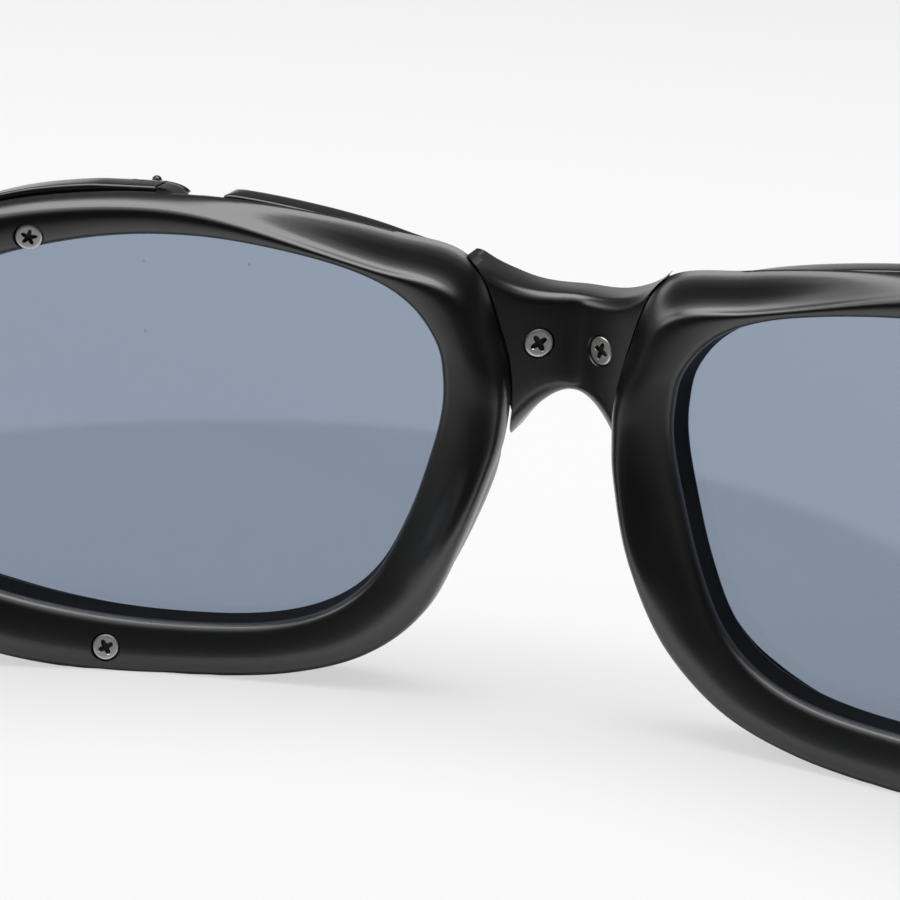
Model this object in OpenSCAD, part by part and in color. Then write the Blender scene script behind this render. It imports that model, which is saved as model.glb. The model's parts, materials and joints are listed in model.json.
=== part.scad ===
// Flip up sunglasses with a wrapped front, millimetres, standing on rims and temple tips.
// The wearer's left is +X, the temples run to +Y and the lenses look to -Y.
// Rims, lenses and leaves are all cut from balls that share one centre on each side.

/* [Front] */
// Width of one rear opening from the nose side to the temple side
lens_w = 55.75; // [52:0.25:60]
// Height of one rear opening
lens_h = 36.4; // [33:0.2:40]
// Distance of the opening from the middle plane at the nose
nose_gap = 10.55; // [9.8:0.05:12.5]
// Width that the rim measure stands for, all round the opening
rim_w = 5; // [4.8:0.1:5.6]
// Depth of the rear rim from its back face to its front face
rim_t = 3.4; // [3.2:0.1:4]
// How far the nose side of the rear rim swells towards the face
nose_flare = 2.4; // [0:0.2:3]
// Radius of the ball that the back face of the rims lies on
ball_r = 90; // [84:1:110]

/* [Flip unit] */
// Clear gap between the rear rims and the flip unit
flip_gap = 0.4; // [0.4:0.05:0.7]
// Depth of the front rims
front_t = 3; // [2.8:0.1:3.6]
// Thickness of the tinted lenses
lens_t = 1.9; // [1.6:0.1:2]
// Height of the brow plates
plate_h = 0.95; // [0.7:0.05:1.2]
// Place of the flip hinge across the front, at the inner end of the outer plate
hinge_x = 37.5; // [36.7:0.1:38.3]
// Radius of the flip hinge pins
pin_r = 0.45; // [0.35:0.05:0.5]

/* [Bridge] */
// Angle of each back face of the bridge against straight across
bridge_turn = 30; // [26:1:32]
// Depth of the bridge in the middle
bridge_t = 4.6; // [4.4:0.1:5.4]
// Height of the top of the bridge above the middle of the lenses
bridge_top = 14.9; // [14.4:0.1:15.4]
// Height of the top of the nose arch above the middle of the lenses
arch_top = 7.1; // [6.6:0.1:7.6]

/* [Temples] */
// Place of the fold hinge beyond the outer end of the rear rim
fold_out = -0.3; // [-0.3:0.1:4]
// Place of the fold hinge behind the front
fold_y = 28; // [27.6:0.2:31]
// Length of a temple from its fold hinge to its tip
temple_l = 119; // [105:1:126]
// Height of a temple at its root
temple_h = 11.2; // [10.8:0.1:12.4]
// Thickness of a temple
temple_t = 2.8; // [2.6:0.1:3.4]

/* [Screws] */
// Head radius of every flush screw
head_r = 1.3; // [1.1:0.05:1.3]
// Shank radius of every flush screw
shank_r = 0.6; // [0.5:0.05:0.7]

/* [Hidden] */
$fn = 48;
ball_x = 15.4;
ball_c = ball_r + 1.83;
steps = 3;
slack = 0.03;
front_d = rim_t + flip_gap;
front_e = front_d + front_t;
fold_z = 6.5;
axis_y = 1.4;
knuckle_r = 0.85;
link_t = 2.4;

// Rear opening, as shares of its width and height, from the nose side over the brow.
opening_shape = [
  [0, 0.198], [0.013, 0.291], [0.06, 0.381], [0.139, 0.442], [0.259, 0.48], [0.403, 0.501],
  [0.546, 0.488], [0.693, 0.436], [0.824, 0.357], [0.93, 0.252], [0.995, 0.115],
  [1, -0.044], [0.941, -0.205], [0.833, -0.35], [0.7, -0.431], [0.555, -0.477],
  [0.412, -0.499], [0.272, -0.488], [0.173, -0.433], [0.103, -0.335], [0.055, -0.187],
  [0.021, -0.022], [0.002, 0.104]
];
// Reach of the rear rim beyond the opening at the same places, in rim widths.
rear_reach = [
  [-1.13, -0.08], [-1.1, 0.12], [-1.03, 0.87], [-0.46, 0.74], [-0.2, 0.68], [-0.1, 0.65],
  [0.1, 0.74], [0.28, 0.86], [0.46, 0.84], [0.72, 0.68], [0.92, 0.28],
  [0.92, -0.16], [0.84, -0.62], [0.64, -0.9], [0.36, -1.12], [0.16, -1.12],
  [-0.02, -1.04], [-0.34, -0.97], [-0.74, -0.82], [-1.0, -0.55], [-1.19, -0.08],
  [-1.23, 0.06], [-1.14, -0.16]
];
// Reach of the front rim at the same places, narrower so that it hides behind the rear rim.
front_reach = [
  [-0.51, 0], [-0.64, 0.1], [-0.62, 0.54], [-0.36, 0.48], [-0.16, 0.48], [-0.06, 0.51],
  [0.08, 0.6], [0.24, 0.76], [0.36, 0.72], [0.56, 0.52], [0.72, 0.22],
  [0.72, -0.12], [0.66, -0.48], [0.52, -0.68], [0.28, -0.86], [0.12, -0.86],
  [0, -0.76], [-0.2, -0.68], [-0.6, -0.7], [-0.88, -0.48], [-1.07, -0.08],
  [-1.08, 0.06], [-0.61, -0.1]
];

// A closed smooth curve through the points, and one place on it.
function blend(a, b, c, e, t) =
  0.5 * (2 * b + (c - a) * t + (2 * a - 5 * b + 4 * c - e) * t * t
  + (3 * b - a - 3 * c + e) * t * t * t);
function at(p, s) =
  let (n = len(p), i = floor(s) % n)
  blend(p[(i + n - 1) % n], p[i], p[(i + 1) % n], p[(i + 2) % n], s - floor(s));
function smooth(p) = [for (i = [0 : len(p) * steps - 1]) at(p, i / steps)];
function unit(v) = v / norm(v);
// Share of a soft hill that is one at zero and nothing beyond one.
function hill(t) = abs(t) >= 1 ? 0 : pow(cos(90 * t), 2);
function rise(t) = t <= 0 ? 0 : t >= 1 ? 1 : t * t * (3 - 2 * t);

opening_keys = [for (p = opening_shape) [nose_gap + lens_w * p[0], lens_h * p[1]]];
rear_keys = [for (i = [0 : 22]) opening_keys[i] + rim_w * rear_reach[i]];
front_keys = [for (i = [0 : 22]) opening_keys[i] + rim_w * front_reach[i]];
fold_x = rear_keys[11][0] + fold_out;
axis_z = rear_keys[5][1] - 0.3864;
// The two screws of a rear rim, above and below its opening.
screw_a = at(opening_keys, 6.73) + [-0.030271, 1.060066];
screw_b = at(opening_keys, 15.15) + [0.012229, -3.408255];
magnet_z = screw_b[1] + 0.75;
opening_curve = smooth(opening_keys);
rear_curve = smooth(rear_keys);
front_curve = smooth(front_keys);
count = len(opening_curve);
rear_low = min([for (p = rear_curve) p[1]]);
face_h = -rear_low - 0.12;

// Depth of a place that lies d in front of the back face ball.
function ball_y(x, z, d) = ball_c - sqrt(pow(ball_r + d, 2) - pow(x - ball_x, 2) - z * z);
function on_ball(p, d) = [p[0], ball_y(p[0], p[1], d), p[1]];
// The opening pushed outwards by a distance, towards the rim.
function pushed(i, a) = opening_curve[i] + a * unit(rear_curve[i] - opening_curve[i]);
// The lip next to the lens, drawn in most at the nose.
function lip(i) =
  let (p = opening_curve[i], u = 1 - (p[0] - nose_gap) / lens_w)
  [p[0] + 0.9 * pow(max(u, 0), 4) - 0.2, p[1] * 0.985];
function between(i, w) = opening_curve[i] * (1 - w) + rear_curve[i] * w;
function flare(i, w) =
  let (p = rear_curve[i])
  nose_flare * hill((p[1] + 7) / 13) * rise((18 - p[0]) / 7) * rise((w - 0.2) / 0.75);
function rear_place(i, w, d) = on_ball(between(i, w), d - flare(i, w));

// A ring whose stations are given as lists of places, wound so that it encloses the rim.
module ring(stations) {
  n = len(stations);
  m = len(stations[0]);
  polyhedron(
    points = [for (s = stations) for (p = s) p],
    faces = [for (i = [0 : n - 1]) for (k = [0 : m - 1])
      [i * m + k, ((i + 1) % n) * m + k, ((i + 1) % n) * m + (k + 1) % m, i * m + (k + 1) % m]],
    convexity = 8
  );
}

// Everything between two depths in front of the back face ball of the left side.
module shell(near, far) {
  difference() {
    ball(far);
    ball(near);
  }
}
module ball(d) {
  translate([ball_x, ball_c, 0]) sphere(r = ball_r + d, $fn = 160);
}
// A front view outline pushed through the front along Y.
module through(points, y0 = -14, y1 = 34) {
  translate([0, y1, 0]) rotate([90, 0, 0]) linear_extrude(y1 - y0) polygon(points);
}
// A plan view outline standing between two heights.
module standing(points, z0, z1) {
  translate([0, 0, z0]) linear_extrude(z1 - z0) polygon(points);
}
// Children turned so that their +Z leaves the back face at a place on it.
module on_face(x, z, d = 0) {
  p = [x, ball_y(x, z, d), z];
  n = unit([ball_x, ball_c, 0] - p);
  translate(p) rotate([0, acos(n[2]), atan2(n[1], n[0])]) children();
}
// Children turned so that their +Z leaves the left back face of the bridge.
module on_bridge(x, z) {
  translate([x, bridge_y(x), z]) rotate([-90, 0, bridge_turn]) children();
}
function bridge_y(x) = -3.4 + abs(x) * tan(bridge_turn);

// Moves the whole object so that it stands on the table with its middle at the origin.
module lift() {
  translate([0, -middle_y, face_h]) children();
}
module right() {
  mirror([1, 0, 0]) children();
}
module both() {
  children();
  right() children();
}
module above_table() {
  intersection() {
    children();
    translate([-100, -50, -face_h]) cube([200, 300, 100]);
  }
}

// A flush screw with a cross recess, its head at z = 0 and its shank below.
module screw(long) {
  difference() {
    union() {
      translate([0, 0, -0.2]) cylinder(r = head_r, h = 0.2, $fn = 32);
      translate([0, 0, -0.9]) cylinder(r1 = shank_r, r2 = head_r, h = 0.7, $fn = 32);
      translate([0, 0, -long]) cylinder(r = shank_r, h = long - 0.8, $fn = 32);
    }
    for (a = [0, 90]) {
      rotate([0, 0, a]) translate([-head_r * 0.58, -0.2, -0.55]) cube([head_r * 1.16, 0.4, 1]);
    }
  }
}
// The seat that a screw sinks into.
module seat(long, room = slack) {
  translate([0, 0, -0.24]) cylinder(r = head_r + room, h = 2, $fn = 32);
  translate([0, 0, -0.94]) cylinder(r1 = shank_r + room, r2 = head_r + room, h = 0.7, $fn = 32);
  translate([0, 0, -long - room]) cylinder(r = shank_r + room, h = long, $fn = 32);
}

// Front view band of the hinge leaf, inside the top of the rear rim.
leaf_band = concat(
  [for (i = [0 : 6]) let (s = 5.17 + i * 0.3) at(rear_keys, s) + [0, -0.9]],
  [for (i = [6 : -1 : 0]) let (s = 5.17 + i * 0.3) at(opening_keys, s) + [0, 0.2]]
);
module leaf_room(grow) {
  intersection() {
    shell(rim_t - 1.25 - grow, rim_t + 2);
    through([for (i = [0 : 13]) leaf_band[i]
      + [grow * (i > 2 && i < 11 ? 1 : -1), grow * (i % 13 < 7 ? 1 : -1)]]);
  }
}

module rear_rim() {
  above_table() difference() {
    ring([for (i = [0 : count - 1]) [
      on_ball(lip(i), rim_t),
      rear_place(i, 0, 0.45),
      rear_place(i, 0.05, 0.12),
      rear_place(i, 0.15, 0),
      rear_place(i, 0.5, -0.12),
      rear_place(i, 0.76, 0.15),
      rear_place(i, 0.92, 0.75),
      rear_place(i, 1, 1.8),
      on_ball(between(i, 1), rim_t)
    ]]);
    leaf_room(slack);
    on_face(screw_a[0], screw_a[1]) seat(3);
    on_face(screw_b[0], screw_b[1]) seat(3);
    on_face(screw_b[0], screw_b[1], rim_t) translate([0, 0, -2]) cylinder(r = 1.5 + slack, h = 3);
  }
}

module front_rim() {
  difference() {
    ring([for (i = [0 : count - 1]) [
      on_ball(pushed(i, 0.6), front_e),
      on_ball(pushed(i, 0.6), front_d + lens_t + 0.15),
      on_ball(pushed(i, 1.3), front_d + lens_t + 0.15),
      on_ball(pushed(i, 1.3), front_d),
      on_ball(front_curve[i], front_d),
      on_ball(front_curve[i], front_e - 0.9),
      on_ball(front_curve[i] * 0.85 + pushed(i, 0.6) * 0.15, front_e - 0.2),
      on_ball(front_curve[i] * 0.6 + pushed(i, 0.6) * 0.4, front_e)
    ]]);
    hinge_well();
    on_face(screw_b[0], magnet_z, front_d) translate([0, 0, -1.2]) cylinder(r = 1 + slack, h = 3);
    link_screw_place() translate([0, 0, -3.2]) cylinder(r = 0.45 + slack, h = 4);
  }
}
// Room in the flip unit for the fixed lug and for the knuckle of the outer plate.
module hinge_well() {
  translate([hinge_x - 3.1, axis_y, axis_z]) rotate([0, 90, 0]) {
    cylinder(r = knuckle_r + 0.35, h = 3.1);
    cylinder(r = knuckle_r + 0.05, h = 6.4);
  }
  translate([hinge_x - 3.1, axis_y, axis_z - knuckle_r - 0.35]) cube([3.1, 6, 4]);
  translate([hinge_x - 3.1, axis_y - 4, axis_z - 0.4]) cube([3.1, 8, 4]);
}

// Depth that the lens leaves free in its rebate.
module lens() {
  intersection() {
    shell(front_d + 0.1, front_d + 0.1 + lens_t);
    through([for (i = [0 : count - 1]) pushed(i, 1.25)]);
  }
}

// A brow plate between two places of the front rim, thinned towards its far end.
module brow_plate(s0, s1, taper) {
  n = 12;
  function thick(k) = plate_h * (1 - taper * pow(k / n, 2)) * (k == 0 ? 0.55 : 1);
  intersection() {
    shell(front_d + 0.05, front_e - 0.15);
    through(concat(
      [for (k = [0 : n]) at(front_keys, s0 + (s1 - s0) * k / n) + [0, 0.03]],
      [for (k = [n : -1 : 0]) at(front_keys, s0 + (s1 - s0) * k / n) + [0, 0.03 + thick(k)]]
    ));
  }
}
module outer_plate() {
  difference() {
    union() {
      difference() {
        brow_plate(5.4, 8.6, 0.5);
        translate([hinge_x - 9.9, -10, 0]) cube([10, 30, 40]);
      }
      translate([hinge_x + 0.1, axis_y, axis_z]) rotate([0, 90, 0]) cylinder(r = knuckle_r, h = 3);
    }
    translate([hinge_x - 1, axis_y, axis_z]) rotate([0, 90, 0]) cylinder(r = pin_r + 0.05, h = 4);
  }
}
module inner_plate() {
  brow_plate(4.84, 2.2, 0.7);
}

// Leaf with the fixed lug of the flip hinge, screwed to the rear rim from behind.
module hinge_leaf() {
  difference() {
    union() {
      intersection() {
        shell(rim_t - 1.25, rim_t);
        through(leaf_band);
      }
      intersection() {
        translate([hinge_x - 2.6, axis_y, axis_z - knuckle_r]) cube([2.4, 5, 2 * knuckle_r]);
        union() {
          shell(rim_t + slack, 20);
          intersection() {
            shell(rim_t - 0.6, rim_t + 1);
            through(leaf_band);
          }
        }
      }
      translate([hinge_x - 2.6, axis_y, axis_z]) rotate([0, 90, 0]) {
        cylinder(r = knuckle_r, h = 2.4);
      }
    }
    translate([hinge_x - 3, axis_y, axis_z]) rotate([0, 90, 0]) cylinder(r = pin_r, h = 4);
    on_face(screw_a[0], screw_a[1]) seat(3, 0);
  }
}
module flip_pin() {
  translate([hinge_x - 2.6, axis_y, axis_z]) rotate([0, 90, 0]) cylinder(r = pin_r, h = 5.5);
  translate([hinge_x - 2.9, axis_y, axis_z]) rotate([0, 90, 0]) cylinder(r = pin_r + 0.2, h = 0.3);
}

// Steel catch behind the rear rim and magnet in the front rim, face to face.
module rim_catch() {
  difference() {
    on_face(screw_b[0], screw_b[1], rim_t) cylinder(r = 1.5, h = 0.97);
    on_face(screw_b[0], screw_b[1]) seat(3, 0);
  }
}
module front_magnet() {
  on_face(screw_b[0], magnet_z, front_d) translate([0, 0, -1.15]) cylinder(r = 1, h = 1.1);
}

// Left half of the seam between bridge and rear rim, then the nose arch and the top.
function seam_at(s) = at(rear_keys, s) - [0.04, 0];
seam = [for (i = [0 : 8]) seam_at(21.6 + i * 0.4)];
seam_foot = seam[0];
seam_head = seam[8];
arch = [for (i = [0 : 8]) let (u = i / 8)
  [seam_foot[0] * u, arch_top - (arch_top - seam_foot[1]) * pow(u, 1.7)]];
crest = [for (i = [0 : 8]) let (u = i / 8)
  [seam_head[0] * u, bridge_top + (seam_head[1] - bridge_top) * pow(u, 2.2)]];
function mirrored(list) = [for (i = [len(list) - 2 : -1 : 1]) [-list[i][0], list[i][1]]];
module bridge_outline(grow = 0) {
  left = concat(arch, [for (i = [1 : 8]) seam[i]], [for (i = [7 : -1 : 0]) crest[i]]);
  through(concat(left, mirrored(left)));
}
// Plan view band of the bridge between two depths, with turned faces.
function band(d0, d1, reach, slope) = [
  [-reach, d0 + reach * tan(bridge_turn)], [0, d0], [reach, d0 + reach * tan(bridge_turn)],
  [reach, d1 + reach * slope], [0, d1], [-reach, d1 + reach * slope]
];
back_y = -3.4;
front_y = back_y - bridge_t;
core_y = back_y - 2.3;
core_top = 13.4;
core_low = 8.6;
module bridge_block() {
  difference() {
    intersection() {
      bridge_outline();
      standing(band(back_y, front_y, 12, 0.45), -5, 25);
    }
    standing(band(core_y, front_y - 4, 14, 0.45), -10, core_top + slack);
    both() {
      on_bridge(2.8, 10.4) seat(3.6);
      standing([[7.3, front_y + 3.3], [9, 0.3], [12, 0.3], [12, -12], [7.3, -12]], -5, 25);
    }
  }
}
// The core joins both rear rims in front of the block and takes the bridge screws.
module bridge_core() {
  wing = rear_keys[1][0] + 1.75;
  difference() {
    union() {
      standing(band(core_y - slack, front_y, wing, 0.45), core_low, core_top);
      both() difference() {
        standing([[4.2, -4.4], [wing, -3.2], [wing, 1.5], [4.2, 1.5]], core_low, core_top);
        ball(rim_t + slack);
        through(concat([[0, 20], [0, 0]], seam));
      }
    }
    both() on_bridge(2.8, 10.4) seat(3.6, 0);
  }
}

// Link across the nose that joins the two front rims.
module link_screw_place() {
  translate([9.45, -3.9, 10.6]) rotate([90, 0, 20]) translate([0, 0, 1.1]) children();
}
module centre_link() {
  difference() {
    intersection() {
      through([[0, 8.2], [6, 8.4], [10.6, 9], [11, 10.6], [10.6, 12.4], [6, 13.2], [0, 13.4],
        [-6, 13.2], [-10.6, 12.4], [-11, 10.6], [-10.6, 9], [-6, 8.4]]);
      standing([[0, front_y - 0.4], [11.5, front_y + 4.775], [11.5, front_y + 2.5],
        [0, front_y - link_t], [-11.5, front_y + 2.5], [-11.5, front_y + 4.775]], 0, 20);
    }
    both() ball(front_e + slack);
    both() link_screw_place() translate([0, 0, -4]) cylinder(r = 0.45 + slack, h = 9);
    both() link_screw_place() translate([0, 0, 0.5]) cylinder(r = 0.9 + slack, h = 5);
  }
}
module link_screw() {
  link_screw_place() {
    translate([0, 0, -3]) cylinder(r = 0.45, h = 3.5, $fn = 24);
    translate([0, 0, 0.5]) difference() {
      cylinder(r = 0.9, h = 0.5, $fn = 24);
      translate([-1, -0.15, 0.25]) cube([2, 0.3, 1]);
    }
  }
}

// Endpiece on the outer end of the rear rim, with the fork of the fold hinge.
endpiece_side = concat(
  [for (u = [0 : 0.125 : 1]) [12 + u * 16, fold_z + temple_h / 2 - 3.4 * pow(1 - u, 2)]],
  [for (u = [1 : -0.125 : 0]) [12 + u * 16, fold_z - temple_h / 2 + 3.4 * pow(1 - u, 2)]]
);
module endpiece() {
  low = fold_z - temple_h / 2;
  difference() {
    union() {
      intersection() {
        standing(concat(
          [for (u = [0 : 0.125 : 1]) [fold_x + 2.6 - 4.6 * pow(1 - u, 2), 12 + u * (fold_y - 13.1)]],
          [for (u = [0 : 0.125 : 1]) [fold_x - 1.4 - 2.8 * u, fold_y - 1.1 - 8 * pow(u, 0.7)]],
          [[fold_x - 4.2, 12]]
        ), low, low + temple_h);
        sideways(endpiece_side);
        ball(-0.16);
      }
      for (z = [fold_z - 4.5, fold_z + 1.8]) {
        translate([fold_x, fold_y, z]) cylinder(r = 2, h = 2.7);
        translate([fold_x - 1.4, fold_y - 2, z]) cube([3.2, 2, 2.7]);
      }
    }
    translate([fold_x, fold_y, fold_z - 1.8]) cylinder(r = 2.3, h = 3.6);
    translate([fold_x, fold_y, 0]) cylinder(r = 0.75, h = 20);
    translate([fold_x, fold_y, fold_z + 4.5]) cylinder(r = 1.45, h = 2);
  }
}
module fold_pin() {
  translate([fold_x, fold_y, fold_z - 5]) cylinder(r = 0.75, h = 10);
  difference() {
    translate([fold_x, fold_y, fold_z + 4.5]) cylinder(r = 1.4, h = 0.6);
    translate([fold_x - 2, fold_y - 0.2, fold_z + 4.8]) cube([4, 0.4, 1]);
  }
}

// Side view of a temple, as places along it with its half height.
tip_z = -face_h;
end_y = fold_y + temple_l;
function along(u) = fold_y - 0.7 + (temple_l + 0.7) * u;
side_keys = [
  [along(0), fold_z, temple_h / 2], [along(0.18), fold_z + 0.4, temple_h * 0.41],
  [along(0.42), fold_z + 0.2, 3.8], [along(0.62), fold_z - 1.8, 3.4],
  [along(0.76), fold_z * 0.6 + tip_z * 0.24, 3.4], [along(0.87), tip_z + 10.4, 3.6],
  [along(0.96), tip_z + 3.25, 3.2]
];
tip_swell = 1.05;
middle_y = (front_y - link_t + side_keys[6][0] + tip_swell * side_keys[6][2]) / 2;
function side_at(s) =
  let (n = 6, i = min(floor(s), n - 1), a = side_keys[max(i - 1, 0)], b = side_keys[i],
    c = side_keys[i + 1], e = side_keys[min(i + 2, n)])
  blend(a, b, c, e, s - i);
function side_way(s) =
  let (v = side_at(min(s + 0.02, 6)) - side_at(max(s - 0.02, 0))) unit([v[0], v[1]]);
function side_edge(s, k) =
  let (p = side_at(s), w = side_way(s)) [p[0] - k * p[2] * w[1], p[1] + k * p[2] * w[0]];
function side_outline(s0, s1, n, shrink) = concat(
  [for (j = [0 : n]) side_edge(s0 + (s1 - s0) * j / n, 1 - shrink)],
  [for (j = [n : -1 : 0]) side_edge(s0 + (s1 - s0) * j / n, shrink - 1)]
);
// A side view outline as wide as the whole object, later cut by a plan view band.
module sideways(points) {
  rotate([90, 0, 90]) translate([0, 0, 40]) linear_extrude(50) polygon(points);
}
module bow(r0, r1) {
  translate([fold_x + temple_t - 0.2 + 0.6 - 520, fold_y + 24, -40]) difference() {
    cylinder(r = r1, h = 80, $fn = 360);
    translate([0, 0, -1]) cylinder(r = r0, h = 82, $fn = 360);
  }
}
module temple() {
  above_table() difference() {
    union() {
      intersection() {
        sideways(side_outline(0, 3.6, 14, 0));
        bow(520 - temple_t, 520);
      }
      intersection() {
        sideways(side_outline(3.4, 4.6, 6, 0.45));
        bow(520 - temple_t + 0.7, 520 - 0.7);
      }
      translate([fold_x, fold_y, fold_z - 1.5]) cylinder(r = 2, h = 3);
    }
    for (z = [fold_z - 4.8, fold_z + 1.5]) {
      translate([fold_x, fold_y, z]) cylinder(r = 2.3, h = 3.3);
    }
    translate([fold_x, fold_y, fold_z + 4.4]) cylinder(r = 1.7, h = 1);
    translate([fold_x, fold_y, 0]) cylinder(r = 0.8, h = 20);
  }
}
module temple_tip() {
  above_table() difference() {
    intersection() {
      union() {
        sideways(side_outline(3.62, 6, 12, 1 - tip_swell));
        sideways([for (j = [0 : 23]) [side_keys[6][0], side_keys[6][1]]
          + side_keys[6][2] * tip_swell * [cos(j * 15), sin(j * 15)]]);
      }
      bow(520 - temple_t - 0.6, 520.5);
    }
    intersection() {
      sideways(side_outline(3.4, 4.62, 6, 0.44));
      bow(520 - temple_t + 0.67, 520 - 0.67);
    }
  }
}

module bridge_node() {
  color("#17181a") lift() bridge_block();
}
module core_node() {
  color("#3a3d41") lift() bridge_core();
}
module bridge_screws_node() {
  color("#c9ccd1") lift() both() on_bridge(2.8, 10.4) screw(3.4);
}
module rear_rim_left_node() {
  color("#17181a") lift() rear_rim();
}
module rear_rim_right_node() {
  color("#17181a") lift() right() rear_rim();
}
module rim_screws_node() {
  color("#c9ccd1") lift() both() {
    on_face(screw_a[0], screw_a[1]) screw(2.9);
    on_face(screw_b[0], screw_b[1]) screw(2.9);
  }
}
module hinge_leaf_left_node() {
  color("#8d9197") lift() hinge_leaf();
}
module hinge_leaf_right_node() {
  color("#8d9197") lift() right() hinge_leaf();
}
module flip_pins_node() {
  color("#c9ccd1") lift() both() flip_pin();
}
module rim_catches_node() {
  color("#8d9197") lift() both() rim_catch();
}
module front_rim_left_node() {
  color("#202124") lift() front_rim();
}
module front_rim_right_node() {
  color("#202124") lift() right() front_rim();
}
module lens_left_node() {
  color("#8f9bab") lift() lens();
}
module lens_right_node() {
  color("#8f9bab") lift() right() lens();
}
module outer_plate_left_node() {
  color("#26272a") lift() outer_plate();
}
module outer_plate_right_node() {
  color("#26272a") lift() right() outer_plate();
}
module inner_plate_left_node() {
  color("#26272a") lift() inner_plate();
}
module inner_plate_right_node() {
  color("#26272a") lift() right() inner_plate();
}
module front_magnets_node() {
  color("#6f7378") lift() both() front_magnet();
}
module centre_link_node() {
  color("#202124") lift() centre_link();
}
module link_screws_node() {
  color("#c9ccd1") lift() both() link_screw();
}
module endpiece_left_node() {
  color("#17181a") lift() endpiece();
}
module endpiece_right_node() {
  color("#17181a") lift() right() endpiece();
}
module fold_pins_node() {
  color("#c9ccd1") lift() both() fold_pin();
}
module temple_left_node() {
  color("#17181a") lift() temple();
}
module temple_right_node() {
  color("#17181a") lift() right() temple();
}
module tip_left_node() {
  color("#2a2b2d") lift() temple_tip();
}
module tip_right_node() {
  color("#2a2b2d") lift() right() temple_tip();
}

bridge_node();  // bridge
core_node();  // bridge_core
bridge_screws_node();  // bridge_screws
rear_rim_left_node();  // rear_rim_left
rear_rim_right_node();  // rear_rim_right
rim_screws_node();  // rim_screws
hinge_leaf_left_node();  // hinge_leaf_left
hinge_leaf_right_node();  // hinge_leaf_right
flip_pins_node();  // flip_pins
rim_catches_node();  // rim_catches
front_rim_left_node();  // front_rim_left
front_rim_right_node();  // front_rim_right
lens_left_node();  // lens_left
lens_right_node();  // lens_right
outer_plate_left_node();  // outer_plate_left
outer_plate_right_node();  // outer_plate_right
inner_plate_left_node();  // inner_plate_left
inner_plate_right_node();  // inner_plate_right
front_magnets_node();  // front_magnets
centre_link_node();  // centre_link
link_screws_node();  // link_screws
endpiece_left_node();  // endpiece_left
endpiece_right_node();  // endpiece_right
fold_pins_node();  // fold_pins
temple_left_node();  // temple_left
temple_right_node();  // temple_right
tip_left_node();  // tip_left
tip_right_node();  // tip_right
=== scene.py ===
"""Flip up sunglasses on a pale table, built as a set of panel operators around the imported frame."""

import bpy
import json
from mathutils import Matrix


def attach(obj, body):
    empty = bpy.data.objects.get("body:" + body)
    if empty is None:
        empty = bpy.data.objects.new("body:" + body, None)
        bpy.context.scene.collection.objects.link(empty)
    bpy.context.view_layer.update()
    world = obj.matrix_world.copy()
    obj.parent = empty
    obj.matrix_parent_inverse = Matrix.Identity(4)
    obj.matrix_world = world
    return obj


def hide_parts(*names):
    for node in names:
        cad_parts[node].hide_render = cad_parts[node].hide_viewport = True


bl_info = {
    "name": "Flip Up Sunglasses",
    "version": (1, 0, 0),
    "blender": (4, 5, 0),
    "location": "View3D > Sidebar > Eyewear",
    "description": "Builds a pair of wrapped sunglasses whose lens unit flips up",
    "category": "Object",
}

import json
import math

import bmesh
import bpy
from bpy.props import FloatProperty, FloatVectorProperty, PointerProperty
from mathutils import Matrix, Vector

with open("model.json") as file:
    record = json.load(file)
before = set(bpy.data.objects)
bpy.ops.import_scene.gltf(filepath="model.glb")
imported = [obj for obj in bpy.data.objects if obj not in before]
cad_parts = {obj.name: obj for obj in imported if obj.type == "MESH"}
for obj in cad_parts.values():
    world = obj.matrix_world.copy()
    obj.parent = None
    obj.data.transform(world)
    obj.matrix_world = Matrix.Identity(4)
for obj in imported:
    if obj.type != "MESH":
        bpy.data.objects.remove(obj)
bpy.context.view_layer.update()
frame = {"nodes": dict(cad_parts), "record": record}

MM = 0.001
# Places below are in mm, across from the middle plane and up from the middle of the lenses.
HINGE_AXIS = (0.0, 1.4, 21.1)
HINGE_RADIUS = 0.85
PIN_RADIUS = 0.4
SCREW_PLACES = ((47, 17.55), (40.3, -20.95))
MAGNET_RISE = 0.75
BRIDGE_TURN = 30
BRIDGE_BACK = -3.4
BRIDGE_DEPTH = 4.6
BRIDGE_TOP = 14.9
ARCH_TOP = 6.0
BRIDGE_SCREW = (2.8, 10.4)
RIM_HEAD_SHARE = 0.93
LINK_HALF = 11
LINK_Z = 10.75
FOLD = (70.6, 28.0, 6.5)
BARREL_RADIUS = 2
BARREL_ROOM = 2.3
TEMPLE_LENGTH = 119
TEMPLE_HEIGHT = 11.2
TEMPLE_THICK = 2.8
SLEEVE_START = 3.6
SLEEVE_THICK = 3.9
# The round tinted shadow of the lens, painted on the table below the left lens.
SHADE_X = 28
SHADE_RADIUS = 74.5
SHADE_FADE = 4.5
CAMERA_PLACE = (-60.43, 223.9, 75.91)
CAMERA_RIGHT = (-0.9495, -0.3117, 0.0372)
CAMERA_UP = (0.1297, -0.2814, 0.9508)
CAMERA_BACK = (-0.2859, 0.9076, 0.3076)
# Levels of light, where one is white.
TABLE_GLOW = 0.93
GLOW_SHARE = 0.62
# LENS_SHADE is how bright the table stays inside the painted lens shadow.
LENS_SHADE = 0.72
FILL_LEVEL = 0.42
BACKDROP_LEVEL = 0.955
STRIP_LEVEL = 1.35
JOINTS = {joint["name"]: joint for joint in frame["record"]["behaviour"]["joints"]}
SHIFT = Vector(JOINTS["flip_hinge"]["pos_m"]) - Vector(HINGE_AXIS) * MM
TABLE_Z = -SHIFT.z

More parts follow.
